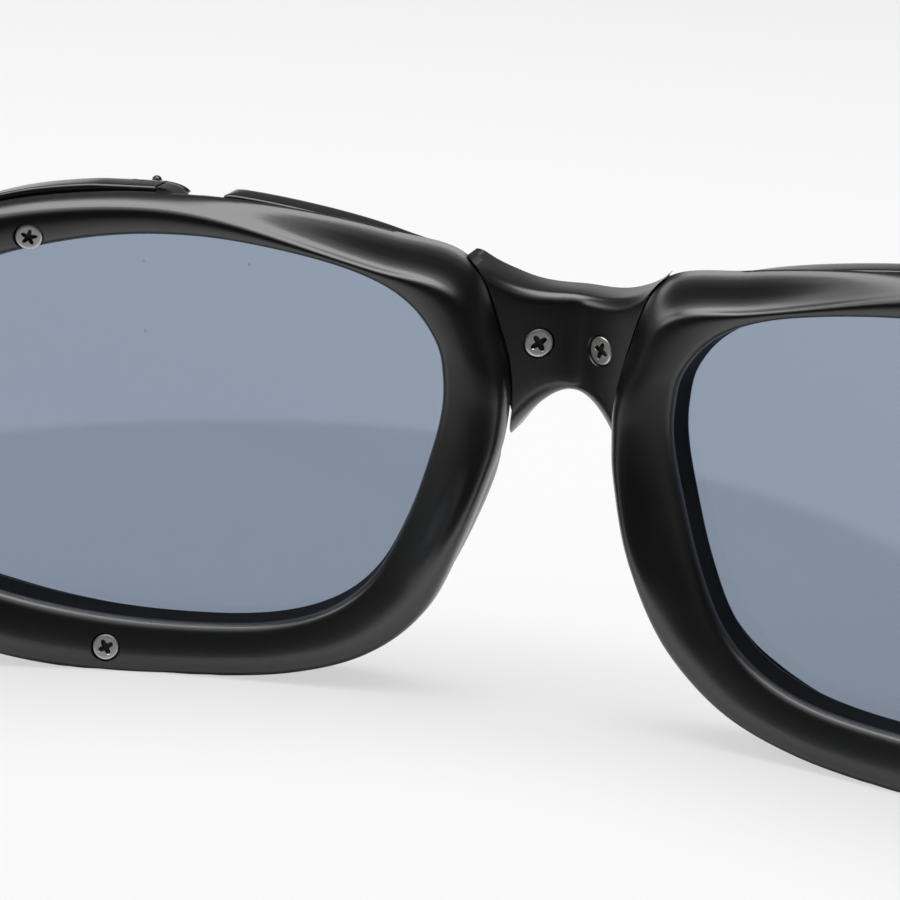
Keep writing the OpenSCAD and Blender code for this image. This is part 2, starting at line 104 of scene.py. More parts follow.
# The rear opening as shares of its width and height, from the nose side over the brow.
OPENING = (
    (0, 0.198), (0.013, 0.291), (0.06, 0.381), (0.139, 0.442), (0.259, 0.48), (0.403, 0.501),
    (0.546, 0.488), (0.693, 0.436), (0.824, 0.357), (0.93, 0.252), (0.995, 0.115),
    (1, -0.044), (0.941, -0.205), (0.833, -0.35), (0.7, -0.431), (0.555, -0.477),
    (0.412, -0.499), (0.272, -0.488), (0.173, -0.433), (0.103, -0.335), (0.055, -0.187),
    (0.021, -0.022), (0.002, 0.104),
)
# How far the rear rim reaches beyond the opening at the same places, in rim widths.
REAR_REACH = (
    (-1.13, -0.08), (-1.1, 0.12), (-1.03, 0.87), (-0.46, 0.74), (-0.2, 0.68), (-0.1, 0.65),
    (0.1, 0.74), (0.28, 0.86), (0.46, 0.84), (0.72, 0.68), (0.92, 0.28),
    (0.92, -0.16), (0.84, -0.62), (0.64, -0.9), (0.36, -1.12), (0.16, -1.12),
    (-0.02, -1.04), (-0.34, -0.97), (-0.74, -0.82), (-1.0, -0.55), (-1.19, -0.08),
    (-1.23, 0.06), (-1.14, -0.16),
)
# How far the front rim reaches beyond the opening at the same places, in rim widths.
FRONT_REACH = (
    (-0.51, 0), (-0.64, 0.1), (-0.62, 0.54), (-0.36, 0.48), (-0.16, 0.48), (-0.06, 0.51),
    (0.08, 0.6), (0.24, 0.76), (0.36, 0.72), (0.56, 0.52), (0.72, 0.22),
    (0.72, -0.12), (0.66, -0.48), (0.52, -0.68), (0.28, -0.86), (0.12, -0.86),
    (0, -0.76), (-0.2, -0.68), (-0.6, -0.7), (-0.88, -0.48), (-1.07, -0.08),
    (-1.08, 0.06), (-0.61, -0.1),
)
# Steps between two of these places, and steps all round.
AROUND = 11
STATIONS = len(OPENING) * AROUND
# Where pieces begin and how far they run, counted in these places.
SEAM_START, SEAM_STEP, SEAM_POINTS = 21.6, 0.086, 41
LEAF_START, LEAF_SPAN = 5.17, 1.8
OUTER_START, OUTER_SPAN = 5.36, 3.28
INNER_START, INNER_SPAN = 1.72, 3.0


def catmull(a, b, c, e, t):
    """Place between b and c on the smooth curve through four points."""
    return 0.5 * (
        2 * b + (c - a) * t + (2 * a - 5 * b + 4 * c - e) * t * t
        + (3 * b - a - 3 * c + e) * t * t * t
    )


def around(points, s):
    """Place s on the closed smooth curve through the points."""
    n = len(points)
    i = math.floor(s) % n
    return catmull(points[i - 1], points[i], points[(i + 1) % n], points[(i + 2) % n],
                   s - math.floor(s))


def through(points, s):
    """Place s on the open smooth curve through the points."""
    n = len(points) - 1
    i = min(max(int(s), 0), n - 1)
    return catmull(points[max(i - 1, 0)], points[i], points[i + 1], points[min(i + 2, n)], s - i)


def quarter(steps):
    """Angles from nought to a right angle."""
    return [math.pi / 2 * t / steps for t in range(steps + 1)]


def ease(t):
    """Soft step from nought to one."""
    t = min(max(t, 0.0), 1.0)
    return t * t * (3 - 2 * t)


def hill(t):
    """Soft hill that is one at nought and nothing beyond one."""
    return 0.0 if abs(t) >= 1 else math.cos(math.pi / 2 * t) ** 2


class Curves:
    """The curves of the left half of the front, worked out from the sizes."""

    def __init__(self, sizes):
        self.s = sizes
        self.ball_r = sizes.ball_radius
        self.centre = Vector((15.4 * MM, self.ball_r + 1.83 * MM, 0))
        opening = [Vector((sizes.nose_gap + sizes.opening_width * a, sizes.opening_height * b))
                   for a, b in OPENING]
        opening = [self.settled(o) for o in opening]
        self.opening_keys = opening
        self.rear_keys = [o + sizes.rim_width * Vector(r) for o, r in zip(opening, REAR_REACH)]
        self.front_keys = [o + sizes.rim_width * Vector(r) for o, r in zip(opening, FRONT_REACH)]
        steps = [i / AROUND for i in range(STATIONS)]
        self.opening = [around(opening, s) for s in steps]
        self.rear = [around(self.rear_keys, s) for s in steps]
        self.front = [around(self.front_keys, s) for s in steps]
        self.front_d = sizes.rim_depth + sizes.flip_gap
        self.front_e = self.front_d + sizes.front_depth

    @staticmethod
    def settled(p):
        """The lower edge of the opening hangs a little deeper towards the outer side."""
        down = ease((-p.y / MM - 8) / 6) * ease((p.x / MM - 27) / 15)
        return Vector((p.x, p.y - 0.7 * MM * down))

    @staticmethod
    def fall(p, d):
        """How far the brow of the rear rim slopes down to its back edge, most near the nose."""
        deep = 0.3 + 2.6 * ease((37 - p.x / MM) / 21)
        return deep * MM * ease((p.y / MM - 3) / 12) * (1 - ease((d - 0.5) / 2.6))

    def low(self, i):
        """One at the lower edge of the opening away from the nose, fading to nought."""
        p = self.opening[i]
        return ease((-p.y / MM - 8) / 6) * ease((p.x / MM - 20) / 12)

    def y(self, x, z, d):
        """Depth of a place that lies d in front of the back face ball."""
        c = self.centre
        return c.y - math.sqrt((self.ball_r + d) ** 2 - (x - c.x) ** 2 - z * z)

    def on(self, p, d):
        """A place on the ball that lies d in front of the back face ball."""
        return Vector((p[0], self.y(p[0], p[1], d), p[1]))

    def standing(self, p, d):
        """As on, but never lower than the table."""
        return self.on((p[0], max(p[1], TABLE_Z)), d)

    def pushed(self, i, a):
        """The opening pushed outwards towards the rim."""
        out = self.rear[i] - self.opening[i]
        return self.opening[i] + out * (a / out.length)

    def lip(self, i):
        """The lip next to the lens, drawn in most at the nose."""
        p = self.opening[i]
        u = max(1 - (p.x - self.s.nose_gap) / self.s.opening_width, 0)
        return Vector((p.x + (0.9 * u ** 4 - 0.2) * MM, p.y * 0.985 - 0.25 * MM * self.low(i)))

    def flare(self, i, w):
        """How far the nose side swells towards the face."""
        p = self.rear[i]
        return (self.s.nose_flare * hill((p.y / MM + 7) / 13) * ease((18 - p.x / MM) / 7)
                * ease((w - 0.2) / 0.75))

    def rear_at(self, i, w, d):
        """A place on the rear rim, w of the way out and d mm in front of the ball."""
        p = self.opening[i].lerp(self.rear[i], w)
        p.y -= w * self.fall(self.rear[i], d)
        return self.standing(p, d * MM - self.flare(i, w))

    def face_matrix(self, x, z, d=0.0):
        """Frame whose +Z leaves the back face at a place on it."""
        p = self.on((x, z), d)
        n = (self.centre - p).normalized()
        return (Matrix.Translation(p) @ Matrix.Rotation(math.atan2(n.y, n.x), 4, "Z")
                @ Matrix.Rotation(math.acos(n.z), 4, "Y"))


# Shared mesh work


def loft(rings, closed=False, caps=True):
    """Skins a row of closed rings. A closed loft joins the last ring to the first."""
    bm = bmesh.new()
    place = bm.verts.layers.int.new("place")
    made = bmesh.ops.create_circle(bm, cap_ends=False, segments=len(rings[0]), radius=1)["verts"]
    for i, v in enumerate(made):
        v[place] = i
        v.co = rings[0][i]
    start = list(bm.edges)
    edges = start
    for ring in rings[1:] + ([rings[0]] if closed else []):
        grown = bmesh.ops.extrude_edge_only(bm, edges=edges)["geom"]
        for v in grown:
            if isinstance(v, bmesh.types.BMVert):
                v.co = ring[v[place]]
        edges = [e for e in grown if isinstance(e, bmesh.types.BMEdge)
                 and not (set(e.verts) & set(v for g in edges for v in g.verts))]
    if not closed and caps:
        ends = bmesh.ops.edgeloop_fill(bm, edges=start)["faces"]
        ends += bmesh.ops.edgeloop_fill(bm, edges=edges)["faces"]
        bmesh.ops.triangulate(bm, faces=ends, ngon_method="EAR_CLIP")
    bmesh.ops.remove_doubles(bm, verts=bm.verts, dist=1e-7)
    bmesh.ops.recalc_face_normals(bm, faces=bm.faces)
    if bm.calc_volume(signed=True) < 0:
        bmesh.ops.reverse_faces(bm, faces=bm.faces)
    return bm


def joined(parts):
    """One bmesh from several."""
    bm = bmesh.new()
    for part in parts:
        mesh = bpy.data.meshes.new("part")
        part.to_mesh(mesh)
        part.free()
        bm.from_mesh(mesh)
        bpy.data.meshes.remove(mesh)
    return bm


def turned(bm, matrix):
    bmesh.ops.transform(bm, matrix=matrix, verts=bm.verts)
    return bm


def mirrored(bm):
    """The same form on the other side of the middle plane."""
    bmesh.ops.scale(bm, vec=(-1, 1, 1), verts=bm.verts)
    bmesh.ops.reverse_faces(bm, faces=bm.faces)
    return bm


def both_sides(shape, matrix):
    """A turned shape and its mirror image, each from its own call of shape."""
    return [turned(shape(), matrix), mirrored(turned(shape(), matrix))]


def moved(x, y, z):
    """Matrix of a move in mm."""
    return Matrix.Translation(Vector((x, y, z)) * MM)


def lathe(profile, segments=48):
    """A solid turned about +Z from (radius, height) pairs in mm that run from axis to axis."""
    rings = [[Vector((r * math.cos(a), r * math.sin(a), z)) * MM for a in
              (2 * math.pi * k / segments for k in range(segments))] for r, z in profile]
    return loft(rings, caps=profile[0][0] > 0)


def round_bar(r, low, high, soft=0.0, segments=48):
    """A round bar about +Z, its edges broken by soft, sizes in mm."""
    outline = ((0, low), (r, low), (r, high), (0, high)) if not soft else (
        (0, low), (r - soft, low), (r, low + soft), (r, high - soft), (r - soft, high), (0, high))
    return lathe(outline, segments)


def as_object(bm, name, sharp=38):
    """A bmesh made an object in the part's own frame."""
    bmesh.ops.translate(bm, vec=SHIFT, verts=bm.verts)
    mesh = bpy.data.meshes.new(name)
    bm.to_mesh(mesh)
    bm.free()
    mesh.shade_smooth()
    mesh.set_sharp_from_angle(angle=math.radians(sharp))
    obj = bpy.data.objects.new(name, mesh)
    bpy.context.scene.collection.objects.link(obj)
    return obj


def taken_back(obj):
    """The bmesh of a finished object, back where as_object moved it from. The object goes."""
    bm = bmesh.new()
    bm.from_mesh(obj.data)
    bmesh.ops.translate(bm, vec=-SHIFT, verts=bm.verts)
    bpy.data.objects.remove(obj)
    return bm


def carve(obj, cutters, sharp=38):
    """Cuts the cutters out of a finished mesh."""
    for cutter in cutters:
        tool = as_object(cutter, "cutter")
        mod = obj.modifiers.new("cut", "BOOLEAN")
        mod.operation = "DIFFERENCE"
        mod.solver = "EXACT"
        mod.object = tool
        bpy.context.view_layer.update()
        graph = bpy.context.evaluated_depsgraph_get()
        mesh = bpy.data.meshes.new_from_object(obj.evaluated_get(graph))
        obj.modifiers.remove(mod)
        old, name = obj.data, obj.data.name
        obj.data = mesh
        bpy.data.meshes.remove(old)
        mesh.name = name
        old = tool.data
        bpy.data.objects.remove(tool)
        bpy.data.meshes.remove(old)
    obj.data.materials.clear()
    obj.data.shade_smooth()
    obj.data.set_sharp_from_angle(angle=math.radians(sharp))
    return obj


def register_piece(obj, body, material, nodes=(), second=None):
    """Gives a finished object its materials and body, and hides the nodes that it stands for."""
    obj.data.materials.append(material)
    if second:
        obj.data.materials.append(second)
    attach(obj, body)
    if nodes:
        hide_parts(*nodes)
    return obj


def other_side(obj, name):
    """A mirror image of a finished left piece, as a new object."""
    bm = bmesh.new()
    bm.from_mesh(obj.data)
    mirrored(bm)
    mesh = bpy.data.meshes.new(name)
    bm.to_mesh(mesh)
    bm.free()
    twin = bpy.data.objects.new(name, mesh)
    bpy.context.scene.collection.objects.link(twin)
    return twin


def pair(obj, stem, body, material, node, second=None):
    """Registers a left piece and its mirrored right twin."""
    twin = other_side(obj, stem + "_right_side")
    right_body = body.replace("left", "right")
    register_piece(obj, body, material, (node + "_left",), second)
    register_piece(twin, right_body, material, (node + "_right",), second)
    return obj, twin


def rounded(a, b, soft, steps=4):
    """Points round a rectangle of half sizes a and b whose corners are rounded."""
    soft = min(soft, 0.96 * a, 0.96 * b)
    return [(sa * (a - soft) + soft * math.cos(q), sb * (b - soft) + soft * math.sin(q))
            for sa, sb, start in ((1, -1, -90), (1, 1, 0), (-1, 1, 90), (-1, -1, 180))
            for q in (math.radians(start + 90 * t / steps) for t in range(steps + 1))]


def mark_wall(obj, c, low, high):
    """Gives the inner wall next to the lens the second material, a darker black that paints shade on
    it.
    """
    middle = Vector((c.s.nose_gap + c.s.opening_width / 2, 0, 0))
    for face in obj.data.polygons:
        place = face.center - SHIFT
        inward = middle - place
        inward.y = 0
        depth = (place - c.centre).length - c.ball_r
        if low * MM < depth < high * MM and face.normal.dot(inward.normalized()) > 0.55:
            face.material_index = 1


def curves():
    return Curves(bpy.context.scene.sunglass_sizes)


# Materials


class Graph:
    """A shader node tree with short ways to add nodes and join them."""

    def __init__(self, tree):
        self.nodes, self.join = tree.nodes, tree.links.new

    def put(self, socket, value):
        """Feeds a socket from another one, or sets its value."""
        if isinstance(value, bpy.types.NodeSocket):
            self.join(value, socket)
        else:
            socket.default_value = value

    def add(self, kind, settings=None, **inputs):
        """A new node. The names of its inputs have underscores for spaces."""
        node = self.nodes.new("ShaderNode" + kind)
        for name, value in (settings or {}).items():
            setattr(node, name, value)
        for name, value in inputs.items():
            self.put(node.inputs[name.replace("_", " ")], value)
        return node

    def maths(self, operation, a, b, clamp=False):
        node = self.add("Math", {"operation": operation, "use_clamp": clamp})
        self.put(node.inputs[0], a)
        self.put(node.inputs[1], b)
        return node.outputs[0]

    def mix(self, kind, factor, a, b):
        node = self.add("Mix", {"data_type": kind}, Factor=factor, A=a, B=b)
        return node.outputs["Result"]

    def ramp(self, value, start, end, low=0.0, high=1.0, kind="SMOOTHSTEP"):
        """Carries the range from start to end over to the range from low to high."""
        node = self.add("MapRange", {"interpolation_type": kind}, Value=value, From_Min=start,
                        From_Max=end, To_Min=low, To_Max=high)
        return node.outputs["Result"]


def surface_group():
    """Node group that varies a finish: faint cloudiness, fine grain and hairline marks."""
    name = "Handled surface"
    if name in bpy.data.node_groups:
        return bpy.data.node_groups[name]
    tree = bpy.data.node_groups.new(name, "ShaderNodeTree")
    for title, kind, value in (
            ("Colour", "Color", (0.02, 0.02, 0.02, 1)),
            ("Worn colour", "Color", (0.05, 0.05, 0.05, 1)), ("Roughness", "Float", 0.35),
            ("Unevenness", "Float", 0.1), ("Grain size", "Float", 5000.0), ("Marks", "Float", 0.3)):
        made = tree.interface.new_socket(name=title, in_out="INPUT",
                                         socket_type="NodeSocket" + kind)
        made.default_value = value
    for title, kind in (("Colour", "Color"), ("Roughness", "Float"), ("Height", "Float")):
        tree.interface.new_socket(name=title, in_out="OUTPUT", socket_type="NodeSocket" + kind)
    g = Graph(tree)
    given = g.nodes.new("NodeGroupInput").outputs
    out = g.nodes.new("NodeGroupOutput").inputs
    place = g.add("TexCoord").outputs["Object"]
    cloud = g.add("TexNoise", Vector=place, Scale=95.0, Detail=4.0, Roughness=0.5)
    cloud = cloud.outputs["Fac"]
    grain = g.add("TexNoise", Vector=place, Scale=given["Grain size"], Detail=2.0, Roughness=0.5)
    stretch = g.add("Mapping", Vector=place, Rotation=(0.3, 0.5, 0.9),
                    Scale=(260.0, 3800.0, 2600.0))
    hair = g.add("TexNoise", Vector=stretch.outputs["Vector"], Scale=1.0, Detail=3.0)
    lines = g.maths("MULTIPLY", g.maths("SUBTRACT", hair.outputs["Fac"], 0.66, True), 5.0, True)
    worn = g.maths("MULTIPLY", lines, given["Marks"], True)
    soft = g.maths("MULTIPLY", g.maths("SUBTRACT", cloud, 0.5), given["Unevenness"])
    share = g.maths("ADD", g.maths("MULTIPLY", cloud, 0.35), g.maths("MULTIPLY", worn, 0.5), True)
    g.put(out["Colour"], g.mix("RGBA", share, given["Colour"], given["Worn colour"]))
    g.put(out["Roughness"], g.maths("ADD", g.maths("ADD", given["Roughness"], soft),
                                    g.maths("MULTIPLY", worn, 0.12)))
    g.put(out["Height"], g.maths("SUBTRACT", grain.outputs["Fac"],
                                 g.maths("MULTIPLY", worn, 0.8)))
    return tree


def finish_material(name, colour, worn, roughness, unevenness, grain, bump, marks=0.3, metal=0.0,
                    coat=0.0, coat_rough=0.1, specular=0.5):
    """A material whose colour, roughness and relief come from the handled surface group."""
    if name in bpy.data.materials:
        return bpy.data.materials[name]
    mat = bpy.data.materials.new(name)
    mat.use_nodes = True
    g = Graph(mat.node_tree)
    surface = g.add("Group", {"node_tree": surface_group()}, Colour=(*colour, 1),
                    Worn_colour=(*worn, 1), Roughness=roughness, Unevenness=unevenness,
                    Grain_size=grain, Marks=marks).outputs
    relief = g.add("Bump", Strength=bump, Distance=0.02 * MM, Height=surface["Height"])
    shader = g.nodes["Principled BSDF"].inputs
    for socket, value in (
            ("Metallic", metal), ("Coat Weight", coat), ("Coat Roughness", coat_rough),
            ("Specular IOR Level", specular), ("Base Color", surface["Colour"]),
            ("Roughness", surface["Roughness"]), ("Normal", relief.outputs["Normal"])):
        g.put(shader[socket], value)
    return mat


def satin_black():
    look = bpy.context.scene.sunglass_looks
    c = look.frame_colour
    return finish_material("Satin black moulding", c, [v * 1.5 + 0.001 for v in c],
                           look.frame_roughness, 0.08, 4200.0, 0.1, 0.25, specular=1.0)


def front_black():
    look = bpy.context.scene.sunglass_looks
    c = look.frame_colour
    return finish_material("Satin black front", [v * 1.1 for v in c], [v * 1.8 + 0.001 for v in c],
                           look.frame_roughness + 0.03, 0.1, 3800.0, 0.12, 0.35, specular=0.8)


def painted_wall_shade():
    """Painted shade: a darker, matt, faintly blue black on the cut walls next to the lenses."""
    return finish_material("Matt cut wall", (0.004, 0.0042, 0.006), (0.008, 0.008, 0.012),
                           0.6, 0.1, 3600.0, 0.15, 0.1, specular=0.12)


def painted_plate():
    return finish_material("Black painted plate", (0.006, 0.0065, 0.0065), (0.02, 0.021, 0.022),
                           0.17, 0.08, 5200.0, 0.08, 0.4, coat=0.3, coat_rough=0.08)


def dark_steel():
    return finish_material("Dark steel", (0.13, 0.135, 0.14), (0.3, 0.3, 0.31),
                           0.36, 0.14, 6400.0, 0.12, 0.6, metal=1.0)


def screw_steel():
    return finish_material("Turned screw steel", (0.72, 0.71, 0.69), (0.84, 0.83, 0.8),
                           0.3, 0.12, 7200.0, 0.14, 0.5, metal=0.85)


def magnet_nickel():
    return finish_material("Nickel plated magnet", (0.42, 0.42, 0.43), (0.55, 0.55, 0.54),
                           0.2, 0.1, 6000.0, 0.08, 0.5, metal=1.0)


def sleeve_rubber():
    return finish_material("Soft temple sleeve", (0.009, 0.0092, 0.0095), (0.018, 0.018, 0.019),
                           0.6, 0.12, 3000.0, 0.35, 0.15, specular=0.35)


# Painted shade: a near-black for the star recesses of the steel screws and pins.
def painted_recess_shade():
    return finish_material("Shaded recess", (0.012, 0.012, 0.011), (0.03, 0.03, 0.028),
                           0.45, 0.1, 5000.0, 0.1, 0.1, specular=0.3)


def lens_tint():
    """Clear grey plastic with a few specks of dust."""
    name = "Grey tinted lens"
    if name in bpy.data.materials:
        return bpy.data.materials[name]
    look = bpy.context.scene.sunglass_looks
    mat = bpy.data.materials.new(name)
    mat.use_nodes = True
    g = Graph(mat.node_tree)
    dust = g.add("TexVoronoi", Vector=g.add("TexCoord").outputs["Object"], Scale=110.0)
    speck = g.ramp(dust.outputs["Distance"], 0.014, 0.02, 0.8, 0.0, "LINEAR")
    shader = g.nodes["Principled BSDF"].inputs
    for socket, value in (
            ("Transmission Weight", 1.0), ("Roughness", 0.0), ("IOR", 1.5),
            ("Base Color", g.mix("RGBA", speck, (*look.lens_tint, 1), (0.12, 0.14, 0.18, 1)))):
        g.put(shader[socket], value)
    return mat


# Sizes and looks


def length(name, description, default, low, high):
    """A property for a length, given in mm."""
    return FloatProperty(name=name, description=description, default=default * MM,
                         min=low * MM, max=high * MM, precision=5, unit="LENGTH")


def colour_setting(name, description, default):
    """A property for a colour."""
    return FloatVectorProperty(name=name, description=description, subtype="COLOR", size=3,
                               min=0, max=1, default=default)


class SunglassSizes(bpy.types.PropertyGroup):
    """Sizes of the sunglasses."""

    opening_width: length("Opening width", "Width of one rear opening", 55.75, 52, 60)
    opening_height: length("Opening height", "Height of one rear opening", 36.4, 33, 40)
    nose_gap: length("Nose gap", "Distance of an opening from the middle plane", 10.55, 9.8, 12.5)
    rim_width: length("Rim width", "Measure of the rim all round the opening", 5, 4.8, 5.6)
    rim_depth: length("Rim depth", "Depth of the rear rim", 3.4, 3.2, 4)
    nose_flare: length("Nose flare", "How far the nose side swells towards the face", 2.4, 0, 3)
    ball_radius: length("Wrap radius", "Radius of the ball that the rims lie on", 90, 84, 110)
    flip_gap: length("Flip gap", "Clear gap between rear rims and flip unit", 0.4, 0.4, 0.7)
    front_depth: length("Front depth", "Depth of the front rims", 3, 2.8, 3.6)
    lens_thickness: length("Lens thickness", "Thickness of the tinted lenses", 1.9, 1.6, 2)
    plate_height: length("Plate height", "Height of the brow plates", 1.3, 1, 1.4)
    hinge_place: length("Hinge place", "Place of the flip hinge across the front",
                        37.5, 36.7, 38.3)
    head_radius: length("Screw head", "Radius of the flush screw heads", 1.3, 1.1, 1.3)


class SunglassLooks(bpy.types.PropertyGroup):
    """Colours and finish of the sunglasses and their stage."""

    frame_colour: colour_setting("Frame colour", "Colour of the moulded frame",
                                 (0.0028, 0.0032, 0.0032))
    frame_roughness: FloatProperty(
        name="Frame roughness", description="How matt the moulded frame is", default=0.3,
        min=0, max=1, subtype="FACTOR")
    lens_tint: colour_setting("Lens tint", "What the lenses let through", (0.285, 0.338, 0.425))
    table_colour: colour_setting("Table colour", "Colour of the table top", (0.8, 0.8, 0.805))
    lamp_power: FloatProperty(
        name="Lamp power", description="Power of the large soft lamp", default=1.1,
        min=0, max=20, unit="POWER")


# Pieces


class EYEWEAR_OT_rear_rims(bpy.types.Operator):
    """Make the two rear rims with their seats for screws and catches"""

    bl_idname = "eyewear.rear_rims"
    bl_label = "Rear Rims"

    # Share of the rim's width and depth in mm, over the back face and down the outer side.
    SECTION = (
        (0, 0.85), (0.005, 0.62), (0.02, 0.42), (0.045, 0.25), (0.08, 0.13), (0.12, 0.055),
        (0.17, 0.01), (0.25, -0.045), (0.34, -0.09), (0.44, -0.115), (0.54, -0.12), (0.63, -0.08),
        (0.71, 0.02), (0.78, 0.16), (0.84, 0.36), (0.89, 0.6), (0.93, 0.86), (0.962, 1.16),
        (0.985, 1.5), (0.997, 1.85), (1, 2.25), (1, 2.7), (1, 3.08), (0.992, 3.24),
        (0.975, 3.34), (0.95, 3.4), (0.8, 3.4), (0.6, 3.4), (0.4, 3.4), (0.2, 3.4),
    )

    def execute(self, context):
        c = curves()
        span = range(STATIONS)
        depth = c.s.rim_depth
        rings = []
        for m in (0.0, 0.04, 0.1, 0.3, 0.5, 0.7, 0.86):
            rings.append([c.on(c.lip(i).lerp(c.opening[i], m),
                               depth + (0.85 * MM - depth) * m) for i in span])
        for w, d in self.SECTION:
            rings.append([c.rear_at(i, w, d) for i in span])
        obj = as_object(loft(rings, closed=True), "rear_rim_left_side")
        head = c.s.head_radius
        cutters = [leaf_shape(c, 0.03, 0.9)]
        for x, z in SCREW_PLACES:
            cutters.append(turned(seat_cutter(RIM_HEAD_SHARE * head), c.face_matrix(x * MM, z * MM)))
        x, z = SCREW_PLACES[1]
        cutters.append(turned(round_bar(1.53, -0.5, 0.99), c.face_matrix(x * MM, z * MM, depth)))
        carve(obj, cutters)
        # The walls next to the lens take the painted shade material.
        mark_wall(obj, c, 0.75, 3.3)
        pair(obj, "rear_rim", "chassis", satin_black(), "rear_rim", painted_wall_shade())
        return {"FINISHED"}


def leaf_shape(c, grow=0.0, proud=0.0):
    """The band of the hinge leaf in the front face of the rear rim."""
    depth = c.s.rim_depth / MM
    near, far = depth - 1.25 - grow, depth + proud
    rings = []
    for k in range(31):
        s = LEAF_START + LEAF_SPAN * k / 30
        low = around(c.opening_keys, s) + Vector((0, 0.2 * MM))
        high = around(c.rear_keys, s) - Vector((0, 0.9 * MM))
        if grow and k in (0, 30):
            side = Vector((-grow * MM if k == 0 else grow * MM, 0))
            low, high = low + side, high + side
        along = (high - low).normalized()
        middle, half = (low + high) / 2, (high - low).length / 2 + grow * MM
        rings.append([c.on(middle + along * b, (near + far) / 2 * MM + a) for a, b in
                      rounded((far - near) / 2 * MM, half, 0.14 * MM, 3)])
    return loft(rings)


def seat_cutter(head):
    """The countersunk seat of a screw, a little wider than its head."""
    r = head / MM + 0.11
    return lathe(((0, -2.2), (0.7, -2.2), (0.7, -1.1), (r, -0.5), (r, -0.06), (r + 0.04, 0),
                  (r + 0.3, 0.8), (0, 0.8)), 56)


def screw_shape(head, long, turn=0.0, shank=0.6, rim=0.3, lobes=4):
    """A screw, head up at nought, with a star recess whose faces carry the second material, a
    near-black that paints the shade in the recess.
    """
    segments = 120
    angles = [2 * math.pi * k / segments for k in range(segments)]

    def ring(radius, z):
        return [Vector((radius(a) * math.cos(a + turn), radius(a) * math.sin(a + turn), z * MM))
                for a in angles]

    def plain(r, z):
        return ring(lambda a: r, z)

    def star(grow, z):
        return ring(lambda a: head * grow * (0.46 + 0.17 * math.cos(lobes * a)), z)

    shank *= MM
    cone = rim + (head - shank) / MM
    rings = [plain(0, -long), plain(shank * 0.8, -long), plain(shank, -long + 0.15),
             plain(shank, -cone), plain(head, -rim), plain(head, -0.12),
             plain(head - 0.03 * MM, -0.06), plain(head - 0.09 * MM, -0.015),
             plain(head - 0.2 * MM, 0), plain(head * 0.75, 0),
             star(1.06, 0), star(1.0, -0.03), star(0.96, -0.16), star(0.8, -0.36),
             star(0.4, -0.42), plain(0, -0.42)]
    bm = loft(rings, caps=False)
    for face in bm.faces:
        place = face.calc_center_median()
        if -0.5 * MM < place.z < -0.02 * MM and place.xy.length < 0.66 * head:
            face.material_index = 1
    return bm


def bridge_matrix(x, z, side=1):
    """Frame whose +Z leaves a back face of the bridge, turned as that face is."""
    turn = math.radians(BRIDGE_TURN)
    y = (BRIDGE_BACK + abs(x) * math.tan(turn)) * MM
    return (Matrix.Translation((side * x * MM, y, z * MM)) @ Matrix.Rotation(side * turn, 4, "Z")
            @ Matrix.Rotation(-math.pi / 2, 4, "X"))


